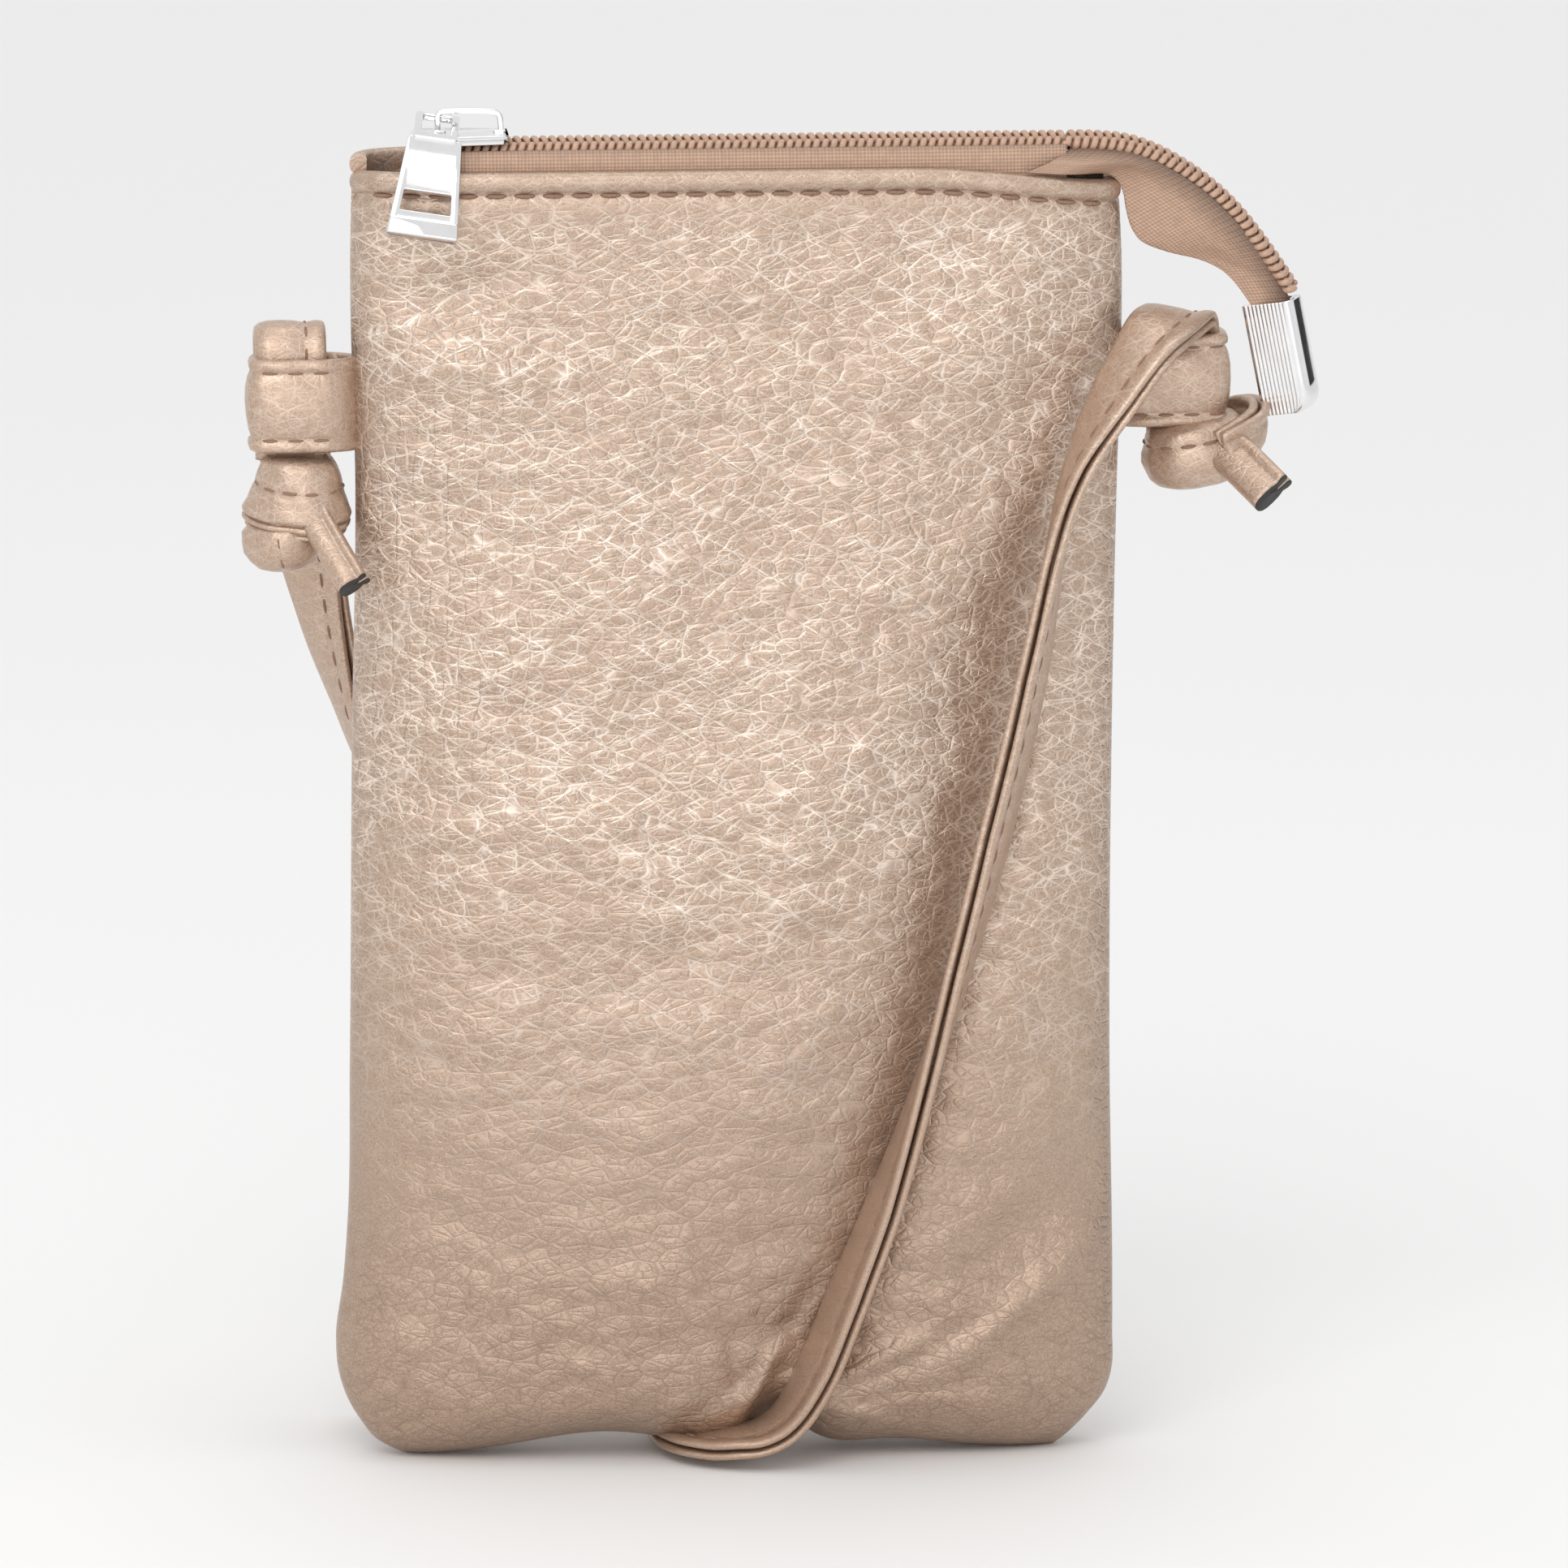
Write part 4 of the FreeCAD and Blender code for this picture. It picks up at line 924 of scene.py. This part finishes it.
# From the middle line of the teeth down to the tape's edge
TAIL_EDGE_DROP = 0.75
CLIP_TOP = (75.8, 0.0, 163.9)
CLIP_HALF = 3.85
CLIP_LENGTH = 16.0
CLIP_DEPTH = 2.35
CLIP_WALL = 0.8
CLIP_RIBS = 10
RIB_STEPS = 6
RIB_DEPTH = 0.2
CLIP_LEAN = -11.0
CLIP_TURN = -30.0
# Distance down the clip, and how far its outer corner is drawn in there
CLIP_RINGS = (
    (0, 0), (-0.12, 0), (-4, 0), (-8, 0), (-12, 0), (-13.6, 0), (-14.6, 0.3), (-15.3, 0.8), (-15.8, 1.4),
    (-CLIP_LENGTH, 2),
)


def tail_spline(rows):
    return spline_points([(x, 0, z) for x, z in rows], 10)


def tail_edge(rows):
    line = tail_spline(rows)
    run = arc_length(line)
    return at_length(line, run, np.linspace(0, run[-1], TAIL_COUNT))


def make_tail_tape(name, sign):
    upper = tail_edge(TAIL_FOLD)
    upper = upper - np.cross(directions(upper), TO_BACK) * TAIL_EDGE_DROP
    lower = tail_edge(TAIL_LOWER)
    s = np.linspace(0, 1, TAIL_COUNT)
    down = np.linspace(0, 1, 26)
    leaves = [(v, TAPE_HALF) for v in down] + [(v, -TAPE_HALF) for v in reversed(down)]
    grid = []
    flat = []
    for v, half in leaves:
        line = upper * (1 - v) + lower * v
        open_end = 2 + 3.7 * smooth(0, 0.55, v)
        closed = 0.5 + 2 * (1 - smooth(0.05, 0.8, v)) * (1 - smooth(0.6, 0.97, s))
        wide = open_end + (closed - open_end) * smooth(0.10, 0.36, s)
        fold = 0.9 * smooth(0.3, 0.8, v) * np.sin(9 * s + 1.6 * v + sign) * smooth(0.15, 0.4, s)
        y = sign * (wide + half) + fold * (1 - smooth(0.75, 1, s))
        lift = 0.5 + 1.4 * (1 - smooth(0.2, 0.4, s)) if sign > 0 else 0
        grid.append(np.column_stack([line[:, 0], y, line[:, 2] + lift * v]))
        flat.append(np.column_stack([arc_length(upper), v * np.linalg.norm(upper - lower, axis=1)]))
    shape = grid_shape(grid, wrap_rows=True)
    piece = make_piece(name + "_weave", shape, TAPE_LOOK, "zip_tape", name, bends=True)
    lay_out(piece, np.concatenate(flat))


def make_tail_coil():
    line = tail_spline(TAIL_COIL_LINE)
    shape = merge([coil_row(line, sign) for sign in (-1, 1)])
    make_piece("zip_tail_coil_helix", shape, COIL_LOOK, "zip_coil", "zip_tail_coil", bends=True)


def make_clip():
    """The crimped clip: a ribbed front, a rounded outer corner and a plain back round a slit."""
    deep = CLIP_DEPTH
    inner = CLIP_DEPTH - CLIP_WALL
    edge = -CLIP_HALF
    section = []
    for share in np.linspace(0, 1, CLIP_RIBS * RIB_STEPS + 1):
        rib = RIB_DEPTH * abs(cos(pi * CLIP_RIBS * share))
        section.append((edge + 0.2 + share * (2 * CLIP_HALF - 1.7), rib - deep))
    corner = [(3.85, 0.9), (3.65, 1.6), (3.3, 2.1), (2.75, 2.3)]
    section += [(x, -y) for x, y in reversed(corner)] + corner
    section += [(edge + 0.2, deep), (edge, deep - 0.2), (edge, inner), (2.2, inner), (2.5, 1.2)]
    section += [(2.5, -1.2), (2.2, -inner), (edge, -inner), (edge, 0.2 - deep)]
    section = np.array(section)
    right = smooth(0.5, CLIP_HALF, section[:, 0])
    rings = [in_plane(section - np.outer(right, (inset, 0)), c) for c, inset in CLIP_RINGS]
    points, faces = loft(rings)
    shape = moved(points, turned(CLIP_LEAN, "Y") @ turned(CLIP_TURN, "Z"), CLIP_TOP), faces
    make_metal("zip_end_clip_shell", shape, "zip_end_clip", "tail")


# Loops in the side seams

# Offset from the loop's outer face and height, round the wall of a loop
TAB_WALL = (
    (-0.75, 0), (-0.1, 0.05), (0.35, 0.35), (0.5, 0.9), (0.4, 1.45), (-0.1, 1.8), (0.2, 2.2), (0.5, 3),
    (0.85, 4.6), (1, 6.6), (0.85, 8.6), (0.5, 10.2), (0.2, 11), (-0.1, 11.4), (0.4, 11.75), (0.5, 12.3),
    (0.35, 12.85), (-0.1, 13.15), (-0.75, 13.2), (-1.25, 13.1), (-1.5, 12.7), (-1.5, 0.5), (-1.25, 0.1),
)
TAB_ROOT = 52.4
TAB_SEAMS = (1.8, 11.4)
TAB_THREAD_DEPTH = 0.16


def make_tab(name, sign, base, end):
    back = [(end, 3.2), (end - 3, 4), (61, 4), (57, 3.8), (53.8, 2.6), (TAB_ROOT, 0.9)]
    control = [(x, -y) for x, y in reversed(back)] + [(end + 0.1, 0)] + back
    line = spline_points([(sign * x, y, 0) for x, y in control], 8)
    normal = in_plane(left_of(directions(line)) * -sign, 0)
    free = smooth(TAB_ROOT, TAB_ROOT + 5, np.abs(line[:, 0]))
    walls = []
    for offset, z in TAB_WALL:
        out = np.full(len(line), offset)
        if offset > 0:
            out = offset * free + 0.08 * np.sin(line[:, 0] * 1.1 + z * 0.7)
        walls.append(line + normal * out[:, None] + (0, 0, base + z))
    shape = loft(np.array(walls).transpose(1, 0, 2))
    make_piece(name + "_leather", shape, STRAP_LOOK, "leather", name)
    rows = []
    half = len(line) // 2
    for z in TAB_SEAMS:
        for part in (slice(8, half - 5), slice(half + 6, -8)):
            row = line[part] - normal[part] * TAB_THREAD_DEPTH + (0, 0, base + z)
            rows.append(stitch_row(row, normal[part], 3.6, 2.5, 0.25))
    make_piece(name + "_thread", merge(rows), THREAD_LOOK, "thread", name + "_stitches")


# Strap

# Control points of the strap from the right knot to the left one, and the direction from its folded
# edge to its open edge there
STRAP_ROUTE = (
    (63, 0, 145.2, 1, 0, 0), (63, 0, 154, 1, 0, 0), (63.4, -0.4, 162.6, 1, -0.2, 0),
    (58.6, -10, 161.8, 0.6, -0.9, -0.45), (52.8, -11.8, 153.4, 0.4, -1, -0.4),
    (47.4, -12, 143.4, 0.1, -1, -0.1), (44.4, -12.8, 133, -0.1, -1, 0), (41.2, -14, 113, -0.35, -1, 0.1),
    (35.8, -14.7, 90, -0.4, -1, 0.1), (30.6, -15, 71, -0.25, -1, 0.1), (25.2, -14.8, 53, 0, -1, 0),
    (19.8, -14.4, 37, 0.25, -1, -0.1), (14.8, -14.4, 24.6, 0.35, -1, -0.15),
    (11.2, -14, 15, 0.35, -1, -0.2), (7.4, -13.2, 7.6, 0.25, -1, -0.15), (3.4, -12.2, 4.4, 0.15, -1, -0.12),
    (-1.8, -10.6, 3.4, -0.1, -1, -0.1), (-6.2, -6.4, 2.8, -0.6, -0.8, 0), (-7.6, 3, 2.6, -1, -0.2, 0),
    (-6.6, 14.4, 3.4, -0.7, -0.8, 0.2), (-6, 20.4, 9.6, -0.2, -1, 0.1),
)
HANK_Y = 20.4
HANK_TURN = (0, -1, 0)
# Put-away length, folded to and fro behind the pouch: x and z of the control points
HANK_ROUTE = (
    (-6, 22), (-6, 66), (-6, 108), (-6, 130.6), (-1.5, 137), (11.5, 137), (16, 130.6), (16, 110),
    (-0.2, 82), (-0.2, 52), (16, 28), (16, 8.8), (20.6, 2.4), (33.4, 2.4), (38, 8.8), (38, 31.4),
    (5.6, 47.9), (5.6, 66), (5.6, 85.9), (38, 109.1), (38, 142.7), (18.7, 162), (-8.7, 162), (-28, 142.7),
    (-28, 111.5), (-11.8, 83.5), (-11.8, 52), (-28, 28), (-28, 8.8), (-32.6, 2.4), (-45.4, 2.4), (-50, 8.8),
    (-50, 31.4), (-17.6, 47.9), (-17.6, 66), (-17.6, 80), (-49, 91),
)
BACK_ROUTE = (
    (-53.4, 20.4, 104, 0.3, -1, 0), (-57.4, 19.4, 118, 0.7, -0.8, 0), (-60.4, 14, 134, 1, -0.3, 0),
    (-61.8, 9.4, 148, 1, 0, 0), (-62.2, 8.4, 160.4, 1, 0, 0), (-62.2, 0, 160.6, 1, 0, 0),
    (-62.2, 0, 152, 1, 0, 0), (-62.2, 0, 143, 1, 0, 0),
)
# Half section of the folded strip: across its width, then its thickness, from the bottom of the slit
# round the lip to the folded edge
STRAP_HALF_SECTION = (
    (1, 0), (2.2, 0.14), (3.6, 0.18), (4.4, 0.22), (4.85, 0.42), (5, 0.78), (4.85, 1.14), (4.4, 1.36),
    (3.6, 1.4), (2.7, 1.22), (2.2, 1.1), (1.7, 1.2), (0.6, 1.4), (-1.2, 1.48), (-3, 1.42), (-4.2, 1.14),
    (-4.85, 0.62), (-5, 0),
)
STRAP_SECTION = np.array(STRAP_HALF_SECTION + tuple((a, -b) for a, b in STRAP_HALF_SECTION[-2:0:-1]))
# Where the thread runs in the strip: across its width and through its thickness
STRAP_SEAM = (2.2, 1.06)


def strip_line(route, resolution):
    """Points of a strip's middle line, and the directions across it."""
    control, turns = np.hsplit(np.array(route, float), 2)
    points = spline_points(control, resolution)
    spans = len(control) - 2
    keys = np.clip(np.arange(len(control)) - 0.5, 0, spans)
    return points, at_length(turns, keys, np.linspace(0, spans, len(points)))


def make_strap():
    hank = tuple((x, HANK_Y, z, *HANK_TURN) for x, z in HANK_ROUTE)
    points, across = strip_line(STRAP_ROUTE + hank + BACK_ROUTE, 12)
    shape = sections(points, across, STRAP_SECTION)
    nodes = ("strap_front_run", "strap_hank", "strap_back_run")
    return make_piece("shoulder_strap", shape, STRAP_LOOK, "leather", *nodes), points, across


def make_strap_thread(points, across):
    wide, thick = cross_directions(points, across)
    rows = []
    for sign in (-1, 1):
        line = points + wide * STRAP_SEAM[0] + thick * sign * STRAP_SEAM[1]
        rows.append(stitch_row(line, thick * sign, STITCH_PITCH, 2.7, 0.2, 0.1))
    return make_piece("shoulder_strap_thread", merge(rows), THREAD_LOOK, "thread")


# Knots, cut ends and tie

# Radius share and height, down the turns of strap in a knot
WRAP_PROFILE = (
    (0, 10.2), (0.45, 10.1), (0.62, 9.7), (0.69, 9), (0.75, 7.6), (0.79, 6.6), (0.80, 6.2), (0.795, 5.95),
    (0.83, 5.6), (0.88, 4.6), (0.94, 3.4), (0.985, 2.7), (1, 2.3), (0.985, 1.95), (0.92, 1.8), (0.86, 1.65),
    (0.92, 1.5), (0.98, 1.3), (0.985, 0.95), (0.95, 0.65), (0.88, 0.55), (0.83, 0.4), (0.89, 0.25),
    (0.93, 0), (0.91, -0.3), (0.82, -0.5), (0.6, -0.6), (0, -0.5),
)
BULGE_PROFILE = (
    (0, 7.6), (0.7, 7.5), (0.95, 6.2), (1, 4.6), (0.97, 3.2), (0.88, 1.9), (0.70, 0.8), (0.42, 0.15),
    (0, 0),
)
BARREL_PROFILE = (
    (0, 9.6), (0.5, 9.55), (0.72, 9.2), (0.82, 8.6), (0.88, 7.8), (0.90, 7.2), (0.895, 6.85), (0.93, 6.5),
    (0.985, 5.4), (1, 4.2), (0.98, 2.9), (0.92, 1.7), (0.82, 0.8), (0.66, 0.2), (0.4, 0), (0, 0),
)
# Base, half width and half depth, and turn of each knot's parts
WRAP = ((-61.4, 0, 133.8), (7.7, 6.8), turned(3, "Y") @ turned(10, "X"))
BULGE = ((-62.8, -0.6, 127.4), (5.8, 5.6), turned(-8, "Y"))
BARREL = ((66, 0, 138.4), (8, 6.7), turned(-10, "Y") @ turned(6, "X"))
# The right knot's curl of strap
CURL_ROUTE = (
    (67.6, 5.6, 144.8, 0, 0, 1), (71.6, 5, 146.8, 0, 0.1, 1), (74, 0.6, 147, 0.1, 0, 1),
    (72.8, -4.8, 145.6, 0.2, 0, 1), (68.4, -6.8, 143.6, 0.1, 0, 1),
)
# Each cut end: its side, line, direction across, half width and half thickness
TIPS = (
    ("left", ((-59.2, -4.4, 135.6), (-57, -7.8, 131.6), (-54, -11.6, 127)), (0.8, 0, 0.5), 2.3, 1.9),
    ("right", ((68.4, -4.6, 144.2), (71.6, -8, 141.4), (74.8, -11.8, 138.4)), (0.7, 0.1, 0.7), 3.2, 1.7),
)
# The tie: its way round the put-away strap, and offset and height round its wall
TIE_BOX = (-20.7, 8.7, 14.1, 26.7)
TIE_WALL = (
    (0, 62.5), (0.35, 62.6), (0.5, 63), (0.55, 66), (0.5, 69), (0.35, 69.4), (0, 69.5), (-0.35, 69.3),
    (-0.4, 66), (-0.35, 62.7),
)


def knot_part(place, profile, seed):
    """A wrap of strap: uneven rings down a profile."""
    centre, halves, turn = place
    field = waves(seed, 0.9)
    angle = full_turn(72)
    rings = []
    for share, z in profile:
        wobble = 1 + 0.025 * np.sin(3 * angle + seed) + 0.012 * field(angle, z * 0.2)
        rings.append(in_plane(on_circle(angle) * halves * (share * wobble)[:, None], z))
    points, faces = loft(rings)
    return moved(points, turn, centre), faces


def knot_seam(place, angle, share, z):
    """Stitches on a knot, from the angles, radius shares and heights of their line."""
    centre, halves, turn = place
    round_it = on_circle(np.radians(angle))
    line = np.column_stack([round_it * halves * np.reshape(share, (-1, 1)), np.broadcast_to(z, len(angle))])
    outward = unit(in_plane(round_it / halves, 0))
    return stitch_row(moved(line, turn, centre), moved(outward, turn), 3.2, 2.3, 0.22, 0.1)


def strap_bit(route, half_width, half_thick):
    """A short length of the folded strip, and its middle line."""
    line, across = strip_line(route, 10)
    section = STRAP_SECTION * (half_width / STRAP_HALF_WIDTH, half_thick / STRAP_HALF_THICK)
    return sections(line, across, section), line


def make_knots():
    even = np.linspace(0, 1, 40)
    share, z = np.array(BULGE_PROFILE)[2:7].T
    band = knot_seam(WRAP, 170 + 200 * even, 0.79, 6.2)
    down = knot_seam(BULGE, np.full(len(z), 262), share * 0.985, z)
    across = knot_seam(BARREL, 160 + 160 * even, 0.895, 6.9)
    left = [knot_part(WRAP, WRAP_PROFILE, 4), knot_part(BULGE, BULGE_PROFILE, 6)]
    right = [knot_part(BARREL, BARREL_PROFILE, 9), strap_bit(CURL_ROUTE, 3.1, 1.5)[0]]
    made = []
    knots = (("left_strap_knot", left, [band, down]), ("right_strap_knot", right, [across]))
    for name, parts, seams in knots:
        made.append(make_piece(name + "_wrap", merge(parts), STRAP_LOOK, "leather", name))
        made.append(make_piece(name + "_thread", merge(seams), THREAD_LOOK, "thread"))
    return made


def make_tips():
    made = []
    for side, control, turn, half_width, half_thick in TIPS:
        name = side + "_strap_tip"
        shape, line = strap_bit([(*place, *turn) for place in control], half_width, half_thick)
        piece = make_piece(name + "_end", shape, STRAP_LOOK, "leather", name)
        piece.data.materials.append(CUT_LOOK)
        for polygon in piece.data.polygons:
            reach = np.linalg.norm(np.array(polygon.center) / MM - line[-1])
            if reach < 0.4 * half_width and len(polygon.vertices) > 4:
                polygon.material_index = 1
        made.append(piece)
    return made


def make_tie():
    """A band of the strap's own strip round the waist of the put-away length."""
    outline = rounded(box_outline(*TIE_BOX), 3.2, 8)
    rings = [in_plane(drawn_in(outline, -offset), z) for offset, z in TIE_WALL]
    shape = grid_shape(rings, wrap_rows=True, wrap_columns=True)
    return make_piece("hank_tie_band", shape, TIE_LOOK, "tie", "hank_tie")


make_camera()
make_stage()
make_light()
for side, sign, relief in (("front", -1, front_relief), ("back", 1, back_relief)):
    make_panel(side + "_panel", sign, relief)
    make_lining(side + "_lining", sign, relief)
    make_hem_stitches(side + "_hem_stitches", sign, relief)
    make_zip_coil(side + "_zip_coil", sign)
    make_zip_tape(side + "_zip_tape", sign)
    make_tail_tape(side + "_zip_tail_tape", sign)
make_tail_coil()
make_slider()
make_bail()
make_pull()
make_clip()
make_tab("left_tab", -1, 144.4, 67.6)
make_tab("right_tab", 1, 146.6, 68.8)
on_strap = make_knots() + make_tips() + [make_tie()]
strap, strap_points, strap_across = make_strap()
on_strap.append(make_strap_thread(strap_points, strap_across))
